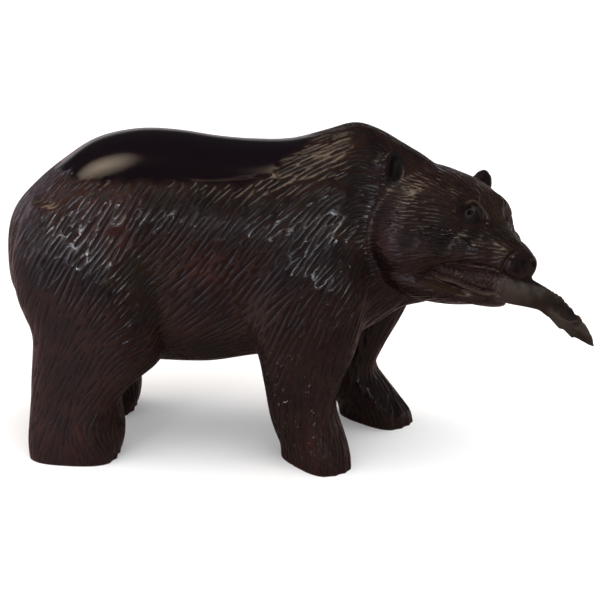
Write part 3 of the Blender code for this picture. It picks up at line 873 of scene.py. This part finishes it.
def line_depth(line, half_width, depth):
    """How much a line of world places cuts each point; a negative depth raises it."""
    total = np.zeros(len(points))
    places = line_places(line)
    for number, place in enumerate(places):
        nearest, index, _ = tree.find(place * PART)
        normal = Vector(normals[index])
        place = Vector(place * PART)
        place -= normal * (place - nearest).dot(normal)
        end = min(number + 1, len(places) - number) * LINE_STEP
        taper = min(1, end / (2 * half_width))
        for _, other, distance in tree.find_range(place, half_width * PART):
            fall = (1 - (distance / (half_width * PART)) ** 2) * taper
            if fall > total[other]:
                total[other] = fall
    return total * depth * PART


def from_head(rows, side=1):
    """Head places as world places, in parts."""
    return np.array([head_point(row, side) / PART for row in rows])


def eye_rows(flat, side):
    """Places in the eye's own plane, ahead and up, as world places in parts."""
    axes = head_axes()
    outward = (np.array(EYE_OUTWARD) * (1, side, 1)) @ axes
    outward /= np.linalg.norm(outward)
    ahead = axes[0] - outward * (axes[0] @ outward)
    ahead /= np.linalg.norm(ahead)
    over = np.cross(outward, ahead) * -side
    middle = head_point(EYE_PLACE, side) / PART
    return np.array([middle + ahead * a + over * b for a, b in flat]), outward


def shifted(rows, rise):
    """The rows of a line, moved up along the head."""
    return [(f, e, u + rise) for f, e, u in rows]


# %% Work out the lines
LIP_RIDGE = (0.8, -0.7)
LIP_GROOVE = (1.1, 0.9)
LIP_GROOVE_OFFSET = 1.6
FIN_RIDGE_CUT = (0.9, -0.7)
SADDLE_LINE_CUT = (0.7, -0.3)
# Raised lines: the fin ridge, the lip edges, the saddle line and the lower lid; they also carry a painted
# highlight.
painted_highlight_ridges = line_depth(FIN_RIDGE, *FIN_RIDGE_CUT)
for side in (1, -1):
    for edge in (UPPER_LIP, LOWER_LIP):
        painted_highlight_ridges += line_depth(from_head(edge, side), *LIP_RIDGE)
painted_highlight_ridges += line_depth(SADDLE_LINE, *SADDLE_LINE_CUT)
for flat, half_width, amount in LID_LINES:
    painted_highlight_ridges += line_depth(eye_rows(flat, 1)[0], half_width, amount)
line_total = painted_highlight_ridges.copy()
for rows, half_width, amount in PAW_RIDGES:
    line_total += line_depth(rows, half_width, amount)
for side in (1, -1):
    for rows, half_width, amount in (
        (shifted(UPPER_LIP, -LIP_GROOVE_OFFSET), *LIP_GROOVE),
        (shifted(LOWER_LIP, LIP_GROOVE_OFFSET), *LIP_GROOVE),
        (NOSE_EDGE, 1.3, 1.0),
        (FISH_COLLAR, 1.0, -0.6),
        (CHEEK_FOLD, 3.0, 0.5),
    ):
        line_total += line_depth(from_head(rows, side), half_width, amount)
    for flat, half_width, amount in EYE_LINES:
        line_total += line_depth(eye_rows(flat, side)[0], half_width, amount)

# %% [markdown]
# ## Scales and fin rays
#
# The fish shows twice: its flank between the jaws, nicked all over with a small round gouge, and its
# smooth end with the fanned tail, whose rays run from the root to the ragged edge.

# %% Scales and rays
SCALE_LENGTH = 2.4
SCALE_HEIGHT = 2.0
SCALE_DEPTH = 0.5
OUTER_SCALE_DEPTH = 0.2
SCALES_END = (104, 120)
NICK_RADIUS = 0.36
NICK_WIDTH = 0.13
NICK_OPENING = (-0.15, 0.1)
RAY_ROOT = (124.0, 113.0)
RAY_COUNT = 30
RAY_DEPTH = 0.4
FIN_START = (131, 134)
FIN_HOLLOW = ((142.2, 104.8), 9.5, 3.8, 2.0)
FIN_HOLLOW_TURN = -38
GAPE_DEPTH = 1.1


def scale_nicks(along, up):
    """0 to 1: a curved nick in each cell of a staggered grid."""
    row = np.floor(up)
    across = (along + 0.5 * np.mod(row, 2)) % 1 - 0.5
    rise = up % 1 - 0.5
    radius = np.hypot(across, rise)
    return np.exp(-((radius - NICK_RADIUS) / NICK_WIDTH) ** 2) * smooth_step(*NICK_OPENING, across)


gape, pad, lip = face_masks(points)
fish = fish_share(points)
local = head_places(points)
places = points / PART
nicks = scale_nicks(local[:, 0] / SCALE_LENGTH, local[:, 2] / SCALE_HEIGHT)
carved = GAPE_DEPTH * gape + SCALE_DEPTH * gape * nicks
fade = fish * (1 - smooth_step(*SCALES_END, places[:, 0]))
carved += OUTER_SCALE_DEPTH * fade * scale_nicks(places[:, 0] / SCALE_LENGTH, places[:, 2] / SCALE_HEIGHT)
fin = smooth_step(*FIN_START, places[:, 0])
angle = np.arctan2(places[:, 2] - RAY_ROOT[1], places[:, 0] - RAY_ROOT[0])
carved += RAY_DEPTH * fin * (0.5 + 0.5 * np.cos(angle * RAY_COUNT * 2)) ** 2
hollow_place, hollow_long, hollow_wide, hollow_depth = FIN_HOLLOW
turn = math.radians(FIN_HOLLOW_TURN)
down = np.array((math.cos(turn), math.sin(turn)))
away = places[:, [0, 2]] - np.array(hollow_place)
lengthwise = away @ down / hollow_long
sidewise = away @ np.array((-down[1], down[0])) / hollow_wide
hollow = fish * np.clip(1 - lengthwise ** 2 - sidewise ** 2, 0, None) ** 0.5
carved += hollow_depth * hollow

# %% Move the points
moved = points - normals * (fur_depth + line_total + carved * PART)[:, None]

# %% [markdown]
# ## Eyes, ears and nostrils
#
# The eye is a ball that sits in the socket, with a drilled pupil. The lids are a slightly larger ball
# that is left open in the shape of an almond. The ear is a cup: its front is hollowed and a rim is
# left standing.

# %% Eyes, ears and nostrils
# Depth at which a cut's painted shade is full.
PAINTED_SHADE_FULL = 0.55
EYE_RADIUS = 5.6
EYE_DEPTH = 4.4
LID_THICKNESS = 0.9
LID_REACH = 6.6
ALMOND = (5.8, 3.9, 3.2)
ALMOND_TILT = -12
ALMOND_EDGE = (-0.2, 0.5)
LID_FADE = (0.8, 1)
PUPIL_SHIFT = (-1.4, 0.2)
PUPIL_RADIUS = 1.8
PUPIL_DEPTH = 2.4
PUPIL_SURROUNDINGS = 4
SOCKET_SHADE = (7.4, 0.9)
FAR_EYE_DEEPER = 4.0
EAR_HOLLOWS = ((3.2, 0.6, 4.6), (3.4, 0.9, 1.2), (3.4, 1.2, -2.6), (3.0, 1.4, -6.0))
EAR_HOLLOW = (5.2, 2.3)
EAR_SHADE_REACH = 6.5
NOSTRILS = (((82, -3.4, -5.4), 1.8, 1.3), ((81.4, -4.6, -6.8), 2.0, 1.5), ((80.4, -5.8, -8.4), 2.0, 1.4),
            ((79, -7.0, -10), 1.8, 1.0))


def seat_ball(points, centre, radius, outward):
    """Raises the skin over a ball to the ball's outer half."""
    away = points - centre
    height = away @ outward
    aside = np.linalg.norm(away - np.outer(height, outward), axis=1)
    cap = np.sqrt(np.clip(radius ** 2 - aside ** 2, 0, None))
    lift = np.where((aside < radius) & (np.abs(height) < 2 * radius), np.clip(cap - height, 0, None), 0)
    return points + np.outer(lift, outward)


def outside_almond(points, side):
    """0 in the opening between the lids, 1 outside it."""
    (middle, ahead, over), _ = eye_rows([(0, 0), (1, 0), (0, 1)], side)
    away = points / PART - middle
    a = away @ (ahead - middle)
    b = away @ (over - middle)
    turn = math.radians(ALMOND_TILT)
    a, b = a * math.cos(turn) - b * math.sin(turn), a * math.sin(turn) + b * math.cos(turn)
    half_long, above, below = ALMOND
    half_high = np.where(b > 0, above, below) * np.clip(1 - (a / half_long) ** 2, 0, None)
    return smooth_step(*ALMOND_EDGE, np.abs(b) - half_high)


# Painted shade: the fur cuts are darkened by their depth; below, the eye sockets, the drilled pupils, the
# nostrils and the ear hollows get painted shade too.
shade = np.clip(fur_depth / (PAINTED_SHADE_FULL * PART), 0, 1)
for place, radius, depth in BROW_KNOBS:
    moved = press(moved, normals, place, radius, depth)
for side in (1, -1):
    (pupil,), outward = eye_rows([PUPIL_SHIFT], side)
    depth = EYE_DEPTH if side == 1 else EYE_DEPTH + FAR_EYE_DEEPER
    ball = head_point(EYE_PLACE, side) - outward * depth * PART
    closed = outside_almond(moved, side)
    aside = np.linalg.norm(np.cross(moved - ball, outward), axis=1)
    closed *= 1 - smooth_step(*LID_FADE, aside / (LID_REACH * PART))
    lid = seat_ball(moved, ball, (EYE_RADIUS + LID_THICKNESS) * PART, outward)
    moved = seat_ball(moved, ball, EYE_RADIUS * PART, outward)
    moved += (lid - moved) * closed[:, None]
    away = moved - pupil * PART
    around = np.linalg.norm(np.cross(away, outward), axis=1) / (PUPIL_RADIUS * PART)
    close = np.linalg.norm(away, axis=1) < PUPIL_SURROUNDINGS * PART
    drilled = np.where(close, np.clip(1 - around ** 2, 0, None), 0) * PUPIL_DEPTH * PART
    moved -= np.outer(drilled, outward)
    # Painted shade over the eye socket, darkest in the drilled pupil.
    socket = SOCKET_SHADE[1] * dome(points, head_point(EYE_PLACE, side), SOCKET_SHADE[0] * PART) ** 0.4
    shade = np.maximum.reduce((shade, socket, 2 * drilled / (PUPIL_DEPTH * PART)))
    for place, radius, depth in NOSTRILS:
        moved = press(moved, normals, place, radius, depth, side)
for side, ear in ((1, NEAR_EAR_PLACE), (-1, FAR_EAR_PLACE)):
    for ahead, across, over in EAR_HOLLOWS:
        front = np.array(ear) + (ahead, side * across, over)
        moved = press(moved, normals, front, *EAR_HOLLOW)
        # Painted shade in the ear's hollows.
        shade = np.maximum(shade, dome(points, head_point(front), EAR_SHADE_REACH * PART) ** 0.5)
    # Painted shade in the nostrils.
    for place, radius, _ in NOSTRILS:
        shade = np.maximum(shade, dome(points, head_point(place, side), 1.3 * radius * PART) ** 0.5)
set_points(bear.data, moved)

# %% Keep what the finish needs to know
# Height of a raised line at which its painted highlight is full.
PAINTED_HIGHLIGHT_FULL = 0.8
HOLLOW_SHADE = 0.8
shares = {
    # painted shade in the cuts and hollows, with the tail fin's hollow
    "cut": np.maximum(shade, HOLLOW_SHADE * hollow),
    # painted highlight along the raised lines
    "painted_highlight_ridges": -painted_highlight_ridges / (PAINTED_HIGHLIGHT_FULL * PART),
    "polish": polished_saddle(points),
    "fish": fish,
    "gape": gape,
    "lip": lip,
    "nose": pad,
    "head": head_share(points),
}
for name, values in shares.items():
    layer = bear.data.attributes.new(name, "FLOAT", "POINT")
    layer.data.foreach_set("value", np.clip(values, 0, 1).astype(np.float32))

# %% [markdown]
# ## A mesh that travels
#
# The finest skin has far more faces than it needs. A decimation keeps the ridges, where the shape
# bends, and thins what is flat. Then the feet are cut off level, and the figure is put in its place.

# %% Thin, cut and place: on the head or not, on the near side or not, and how many triangles
TRIANGLES = ((False, True, 111000), (False, False, 35000), (True, True, 36000), (True, False, 13000))
BODY_MIDDLE = 6
HEAD_MIDDLE = 5


def thin_out(obj, chosen, triangles):
    """Brings the faces among the chosen points down to about this many triangles."""
    corners = read_all(obj.data.loops, "vertex_index")
    inside = np.logical_and.reduceat(chosen[corners], read_all(obj.data.polygons, "loop_start"))
    sizes = read_all(obj.data.polygons, "loop_total") - 2
    group = obj.vertex_groups.new(name="Thinned")
    group.add(np.flatnonzero(chosen).tolist(), 1, "REPLACE")
    fewer = obj.modifiers.new("Fewer triangles", "DECIMATE")
    fewer.ratio = (sizes[~inside].sum() + triangles) / sizes.sum()
    fewer.use_collapse_triangulate = True
    fewer.vertex_group = group.name
    apply_all(obj)
    obj.vertex_groups.clear()


def level_soles(obj):
    """Cuts the feet off flat at z = 0 and closes the soles."""
    ground = {"plane_co": (0, 0, 0), "plane_no": (0, 0, -1)}
    close = {"use_fill": True, "clear_outer": True, "threshold": 1e-7}
    edit_whole(obj, (bpy.ops.mesh.bisect, ground | close), (bpy.ops.mesh.quads_convert_to_tris, {}))


def region(obj, head, near):
    """Which points are on the head or not, and on the side that is carved the finest or not."""
    shares = read_all(obj.data.attributes["head"].data, "value", np.float32)
    points, _ = mesh_arrays(obj.data)
    near_head = head_places(points)[:, 1] < HEAD_MIDDLE
    near_body = points[:, 1] < BODY_MIDDLE * PART
    return np.where(shares >= 0.5, head & (near_head == near), (not head) & (near_body == near))


for head, near, triangles in TRIANGLES:
    thin_out(bear, region(bear, head, near), triangles)
level_soles(bear)
points, _ = mesh_arrays(bear.data)
middle = (points.min(axis=0) + points.max(axis=0)) / 2
shift = np.array((cad_low + cad_high) / 2) - middle
shift[2] = 0
set_points(bear.data, points + shift)
bear.data.polygons.foreach_set("use_smooth", [True] * len(bear.data.polygons))
print("The bear has", len(bear.data.polygons), "faces; moved", (shift / PART).round(3), "parts")
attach(bear, "root")
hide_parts("carved_bear")

# %% [markdown]
# ## The wood
#
# The wood is nearly black, with a red-brown heart that shows in patches. The ridges between the cuts
# are smooth and glossy and the cuts are duller. The cuts and the hollows of the face are painted
# darker as shade, the raised lines get a painted highlight, and the saddle is polished like a piano.
# Grain and patches are one node group each, so that each could serve another wooden thing.

# %% Helpers for nodes, and the two groups
def new_group(name, inputs, outputs):
    """An empty shader node group with its sockets, its input node and its output node."""
    group = bpy.data.node_groups.new(name, "ShaderNodeTree")
    for label, kind, value in inputs:
        socket = group.interface.new_socket(name=label, in_out="INPUT", socket_type=kind)
        if value is not None:
            socket.default_value = value
    for label, kind in outputs:
        group.interface.new_socket(name=label, in_out="OUTPUT", socket_type=kind)
    return group, group.nodes.new("NodeGroupInput"), group.nodes.new("NodeGroupOutput")


def feed(tree, socket, value):
    """Gives a socket its value, or the output that feeds it."""
    if isinstance(value, bpy.types.NodeSocket):
        tree.links.new(value, socket)
    else:
        socket.default_value = value


def node(tree, kind, inputs=None, **settings):
    """A new node with these settings and inputs."""
    made = tree.nodes.new(kind)
    for key, value in settings.items():
        setattr(made, key, value)
    for key, value in (inputs or {}).items():
        feed(tree, made.inputs[key], value)
    return made


def worked_out(tree, operation, first, second):
    """Two values put together by arithmetic."""
    return node(tree, "ShaderNodeMath", {0: first, 1: second}, operation=operation).outputs[0]


def ramp(tree, value, start, end, low=0.0, high=1.0, kind="SMOOTHSTEP"):
    """A value that goes from low to high while another goes from start to end."""
    inputs = {"Value": value, "From Min": start, "From Max": end, "To Min": low, "To Max": high}
    return node(tree, "ShaderNodeMapRange", inputs, interpolation_type=kind).outputs["Result"]


def blend(tree, under, over, share):
    """Lays one colour over another by a share."""
    return node(tree, "ShaderNodeMix", {"Factor": share, 6: under, 7: over}, data_type="RGBA").outputs[2]


def grain_group():
    """Fine pores drawn out along the block, as a height and a tone."""
    group, entry, leave = new_group(
        "Wood grain",
        (("Vector", "NodeSocketVector", None), ("Stretch", "NodeSocketVector", (90, 1100, 1100))),
        (("Height", "NodeSocketFloat"), ("Tone", "NodeSocketFloat")),
    )
    stretch = {0: entry.outputs["Vector"], 1: entry.outputs["Stretch"]}
    place = node(group, "ShaderNodeVectorMath", stretch, operation="MULTIPLY").outputs[0]
    pores = node(group, "ShaderNodeTexNoise", {"Vector": place, "Scale": 1.0, "Detail": 3.0})
    broad = node(group, "ShaderNodeTexNoise", {"Vector": place, "Scale": 0.06, "Detail": 4.0})
    group.links.new(pores.outputs["Fac"], leave.inputs["Height"])
    group.links.new(broad.outputs["Fac"], leave.inputs["Tone"])
    return group


def patch_group():
    """Soft-edged patches, 0 to 1, of a given size and sharpness."""
    group, entry, leave = new_group(
        "Patches",
        (("Vector", "NodeSocketVector", None), ("Scale", "NodeSocketFloat", 20.0),
         ("From", "NodeSocketFloat", 0.45), ("To", "NodeSocketFloat", 0.7)),
        (("Mask", "NodeSocketFloat"),),
    )
    inputs = {"Detail": 5.0, "Roughness": 0.62}
    for label in ("Vector", "Scale"):
        inputs[label] = entry.outputs[label]
    cloud = node(group, "ShaderNodeTexNoise", inputs).outputs["Fac"]
    feed(group, leave.inputs["Mask"], ramp(group, cloud, entry.outputs["From"], entry.outputs["To"]))
    return group


grain = grain_group()
patches = patch_group()
print("Node groups:", grain.name, "and", patches.name)

# %% Colours of the wood
HEARTWOOD = (0.0155, 0.006, 0.0042, 1)
DARK_STREAK = (0.0065, 0.003, 0.0034, 1)
RED_HEART = (0.036, 0.009, 0.005, 1)
OLIVE_BROWN = (0.025, 0.015, 0.0075, 1)
# Painted shade, laid into the cuts and hollows by the 'cut' mask.
PAINTED_SHADE_BLACK = (0.0045, 0.0026, 0.003, 1)
NOSE_BLACK = (0.009, 0.0045, 0.0042, 1)
# Painted highlight along the raised lines.
PAINTED_HIGHLIGHT_BROWN = (0.065, 0.04, 0.026, 1)
FISH_BROWN = (0.02, 0.0125, 0.008, 1)
SADDLE_BLACK = (0.0035, 0.0015, 0.0028, 1)
DUST = (0.4, 0.38, 0.36, 1)
DUSTY_PLACE = (0.0, -0.047, 0.035)
DUSTY_REACH = 0.045
FISH_GREY = (0.05, 0.037, 0.028, 1)
# Painted shade inside the mouth: the fish between the jaws is a darker red-brown than outside it.
MOUTH_SHADE_RED = (0.02, 0.006, 0.0038, 1)
FISH_PALE = (0.12, 0.062, 0.026, 1)
LIP_BROWN = (0.022, 0.011, 0.007, 1)
ROUGHNESS = (0.17, 0.27)
PORE_DEPTH = 0.0002
PORE_STRENGTH = (0.5, 0.03)


def wood_material(name):
    """Oiled near-black wood that reads the masks kept on the mesh."""
    material = bpy.data.materials.new(name)
    material.use_nodes = True
    tree = material.node_tree
    shader = tree.nodes["Principled BSDF"]
    place = node(tree, "ShaderNodeTexCoord").outputs["Object"]

    def mask(attribute):
        """A share kept on the mesh."""
        return node(tree, "ShaderNodeAttribute", attribute_name=attribute).outputs["Fac"]

    def patch(scale, low, high):
        """Patches of this size."""
        inputs = {"Vector": place, "Scale": scale, "From": low, "To": high}
        return node(tree, "ShaderNodeGroup", inputs, node_tree=patches).outputs["Mask"]

    def times(first, second):
        """A part of a share."""
        return worked_out(tree, "MULTIPLY", first, second)

    lines = node(tree, "ShaderNodeGroup", {"Vector": place}, node_tree=grain)
    cut = mask("cut")
    polish = mask("polish")
    streaks = ramp(tree, lines.outputs["Tone"], 0.0, 1.0, -0.6, 1.4, "LINEAR")
    # The fish between the jaws: pale specks over the darker painted shade of the mouth.
    stipple = blend(tree, MOUTH_SHADE_RED, FISH_PALE, times(patch(620, 0.55, 0.62), 0.45))
    skin = blend(tree, FISH_GREY, FISH_BROWN, patch(75, 0.4, 0.62))
    skin = blend(tree, skin, FISH_PALE, times(patch(230, 0.58, 0.7), 0.5))
    from_dusty = node(tree, "ShaderNodeVectorMath", {0: place, 1: DUSTY_PLACE}, operation="DISTANCE")
    near = ramp(tree, from_dusty.outputs["Value"], DUSTY_REACH, 0.3 * DUSTY_REACH)
    colour = HEARTWOOD
    for over, share in (
        (DARK_STREAK, patch(38, 0.42, 0.62)),
        (OLIVE_BROWN, times(patch(24, 0.5, 0.68), 0.7)),
        (RED_HEART, times(patch(17, 0.52, 0.7), 0.75)),
        (DARK_STREAK, times(streaks, 0.35)),
        (LIP_BROWN, times(mask("lip"), 0.8)),
        (NOSE_BLACK, mask("nose")),
        (stipple, mask("gape")),
        (skin, mask("fish")),
        # painted shade in the cuts and hollows
        (PAINTED_SHADE_BLACK, times(cut, 0.75)),
        (SADDLE_BLACK, polish),
        # painted highlight along the raised lines
        (PAINTED_HIGHLIGHT_BROWN, times(mask("painted_highlight_ridges"), 0.65)),
        (DUST, times(patch(560, 0.655, 0.685), near)),
    ):
        colour = blend(tree, colour, over, share)
    rough = ramp(tree, patch(70, 0.35, 0.7), 0.0, 1.0, *ROUGHNESS, "LINEAR")
    for share, value in ((mask("gape"), 0.5), (mask("fish"), 0.38), (cut, 0.55), (polish, 0.13)):
        inputs = {"Factor": share, 2: rough, 3: value}
        rough = node(tree, "ShaderNodeMix", inputs, data_type="FLOAT").outputs[0]
    strength = ramp(tree, polish, 0.0, 1.0, *PORE_STRENGTH, "LINEAR")
    pores = {"Distance": PORE_DEPTH, "Strength": strength, "Height": lines.outputs["Height"]}
    feed(tree, shader.inputs["Base Color"], colour)
    feed(tree, shader.inputs["Roughness"], rough)
    feed(tree, shader.inputs["Normal"], node(tree, "ShaderNodeBump", pores).outputs["Normal"])
    return material


bear.data.materials.clear()
bear.data.materials.append(wood_material("dark_wood_oiled"))

# %% [markdown]
# ## The studio
#
# Dark wood is drawn by what it mirrors. The room is white to the eye and to the floor, but dim in the
# wood's gloss, so that lamps can draw it: cool windows behind the viewer for the glints on the fur and
# a warm one over the rump for its sheen. The pale wall low down draws the rim.

# %% Floor
FLOOR_HALF = 6.0
PAPER_FRONT = (-0.24, -0.1)
PAPER_REAR = (-0.05, -0.15)
PAPER_WHITE = (0.85, 0.85, 0.85, 1)
PAPER_GLOW = 0.04
# Painted light on the floor, seen only by rays that do not come from the eye: dark far in front, lighter
# near the bear, lightest toward the rump.
PAPER_PAINTED_LIGHT = ((0.03, 0.022, 0.02, 1), (0.17, 0.12, 0.11, 1), (0.3, 0.21, 0.21, 1))
bpy.ops.mesh.primitive_plane_add(size=2 * FLOOR_HALF, location=(0, 0, 0))
floor = bpy.context.object
floor.name = "floor"


def paper_material():
    """White to the eye; dim in gloss, with painted light: dark in front, lighter toward the rump."""
    material = bpy.data.materials.new("white_paper")
    material.use_nodes = True
    tree = material.node_tree
    tree.nodes.clear()
    paper = node(tree, "ShaderNodeBsdfDiffuse", {"Color": PAPER_WHITE})
    glow = node(tree, "ShaderNodeEmission", {"Strength": PAPER_GLOW})
    lit = node(tree, "ShaderNodeAddShader", {0: paper.outputs[0], 1: glow.outputs[0]})
    where = node(tree, "ShaderNodeSeparateXYZ", {0: node(tree, "ShaderNodeTexCoord").outputs["Object"]})
    # Painted light: dark far in front, lighter near the bear, lightest toward the rump.
    shade = blend(tree, *PAPER_PAINTED_LIGHT[:2], ramp(tree, where.outputs["Y"], *PAPER_FRONT))
    shade = blend(tree, shade, PAPER_PAINTED_LIGHT[2], ramp(tree, where.outputs["X"], *PAPER_REAR))
    dim = node(tree, "ShaderNodeBsdfDiffuse", {"Color": shade})
    seen = node(tree, "ShaderNodeLightPath").outputs["Is Camera Ray"]
    either = node(tree, "ShaderNodeMixShader", {"Fac": seen, 1: dim.outputs[0], 2: lit.outputs[0]})
    node(tree, "ShaderNodeOutputMaterial", {"Surface": either.outputs[0]})
    return material


floor.data.materials.append(paper_material())

# %% World
EYE_STRENGTH = 1.05
FILL_STRENGTH = (0.25, 2.15)
FILL_TILT = (0.55, -0.8, 0.0)
GLOSS_STRENGTH = 0.028
WALL_STRENGTH = 0.5
WALL_TOP = (0.22, 0.02)
WALL_BEHIND = (-0.3, 0.5)


def white_room():
    """White to the eye, an even fill for the floor, and nearly dark in the gloss but for a pale wall."""
    world = bpy.data.worlds.new("white_room")
    world.use_nodes = True
    world.cycles.sampling_method = "NONE"
    tree = world.node_tree
    tree.nodes.clear()

    def background(strength):
        """A white background of this strength."""
        return node(tree, "ShaderNodeBackground", {"Color": (1, 1, 1, 1), "Strength": strength}).outputs[0]

    place = node(tree, "ShaderNodeTexCoord").outputs["Generated"]
    where = node(tree, "ShaderNodeSeparateXYZ", {0: place})
    height = where.outputs["Z"]
    aslant = node(tree, "ShaderNodeVectorMath", {0: place, 1: FILL_TILT}, operation="DOT_PRODUCT")
    tilt = worked_out(tree, "ADD", aslant.outputs["Value"], 1.0)
    fill = worked_out(tree, "MULTIPLY", ramp(tree, height, 0.0, 1.0, *FILL_STRENGTH, "LINEAR"), tilt)
    wall = ramp(tree, height, *WALL_TOP, GLOSS_STRENGTH, WALL_STRENGTH)
    behind = ramp(tree, where.outputs["Y"], *WALL_BEHIND, GLOSS_STRENGTH)
    gloss = worked_out(tree, "MINIMUM", wall, behind)
    rays = node(tree, "ShaderNodeLightPath")
    inputs = {"Fac": rays.outputs["Is Glossy Ray"], 1: background(fill), 2: background(gloss)}
    softly = node(tree, "ShaderNodeMixShader", inputs)
    inputs = {"Fac": rays.outputs["Is Camera Ray"], 1: softly.outputs[0], 2: background(EYE_STRENGTH)}
    seen = node(tree, "ShaderNodeMixShader", inputs)
    node(tree, "ShaderNodeOutputWorld", {"Surface": seen.outputs[0]})
    return world


bpy.context.scene.world = white_room()


# %% Lamps
def direction(azimuth, elevation):
    """The way to a place in the studio, in degrees; azimuth 0 is the viewer's side."""
    turn = math.radians(azimuth)
    rise = math.radians(elevation)
    return Vector((math.sin(turn) * math.cos(rise), -math.cos(turn) * math.cos(rise), math.sin(rise)))


def soft_lamp(name, azimuth, elevation, distance, size, radiance, colour, target, spread=180):
    """A rectangular lamp that faces the target.

    A spread below 180 degrees makes a beam, as a grid before the lamp does.
    """
    toward = direction(azimuth, elevation)
    lamp = bpy.data.lights.new(name, "AREA")
    lamp.shape = "RECTANGLE"
    lamp.size, lamp.size_y = size
    half_spread = math.radians(spread) / 2
    lamp.spread = 2 * half_spread
    lamp.energy = radiance * math.pi * size[0] * size[1] * (1 - half_spread / math.tan(half_spread))
    lamp.color = colour
    obj = bpy.data.objects.new(name, lamp)
    bpy.context.collection.objects.link(obj)
    obj.location = Vector(target) + toward * distance
    obj.rotation_euler = toward.to_track_quat("Z", "Y").to_euler()
    return obj


MIDDLE = (0, 0, 0.09)
HAUNCH = (-0.145, -0.04, 0.1)
SHOULDER = (0.018, -0.04, 0.1)
RUMP = (-0.14, -0.01, 0.09)
RUMP_TOP = (-0.108, 0, 0.15)
soft_lamp("haunch_window", -16, 22, 0.95, (0.14, 0.18), 120.0, (0.88, 0.93, 1.0), HAUNCH, 8)
soft_lamp("shoulder_window", 3, 9, 0.95, (0.09, 0.18), 95.0, (0.86, 0.92, 1.0), SHOULDER, 7)
soft_lamp("window", -8, 15, 1.6, (0.12, 0.12), 1.2, (0.84, 0.91, 1.0), MIDDLE)
soft_lamp("side_window", -56, 14, 1.6, (0.7, 0.7), 1.7, (0.86, 0.78, 0.95), MIDDLE)
soft_lamp("rump_window", -112, 20, 1.2, (0.6, 0.6), 1.1, (0.9, 0.78, 1.0), RUMP)
soft_lamp("ceiling", -93, 62, 0.66, (0.5, 0.66), 5.0, (1.0, 0.8, 0.6), RUMP_TOP, 41)

# %% Camera at the photograph's place
VIEW_AZIMUTH = 7
VIEW_ELEVATION = 19
VIEW_DISTANCE = 1.1
VIEW_TARGET = Vector((0.0011, 0.0089, 0.082))
LENS_PIXELS = 2018
PHOTO_SIDE = 600
camera_data = bpy.data.cameras.new("camera")
camera_data.sensor_width = 36
camera_data.lens = camera_data.sensor_width * LENS_PIXELS / PHOTO_SIDE
camera = bpy.data.objects.new("camera", camera_data)
bpy.context.collection.objects.link(camera)
back = direction(VIEW_AZIMUTH, VIEW_ELEVATION)
camera.location = VIEW_TARGET + back * VIEW_DISTANCE
camera.rotation_euler = back.to_track_quat("Z", "Y").to_euler()
bpy.context.scene.camera = camera
bpy.context.scene.view_settings.view_transform = "Standard"
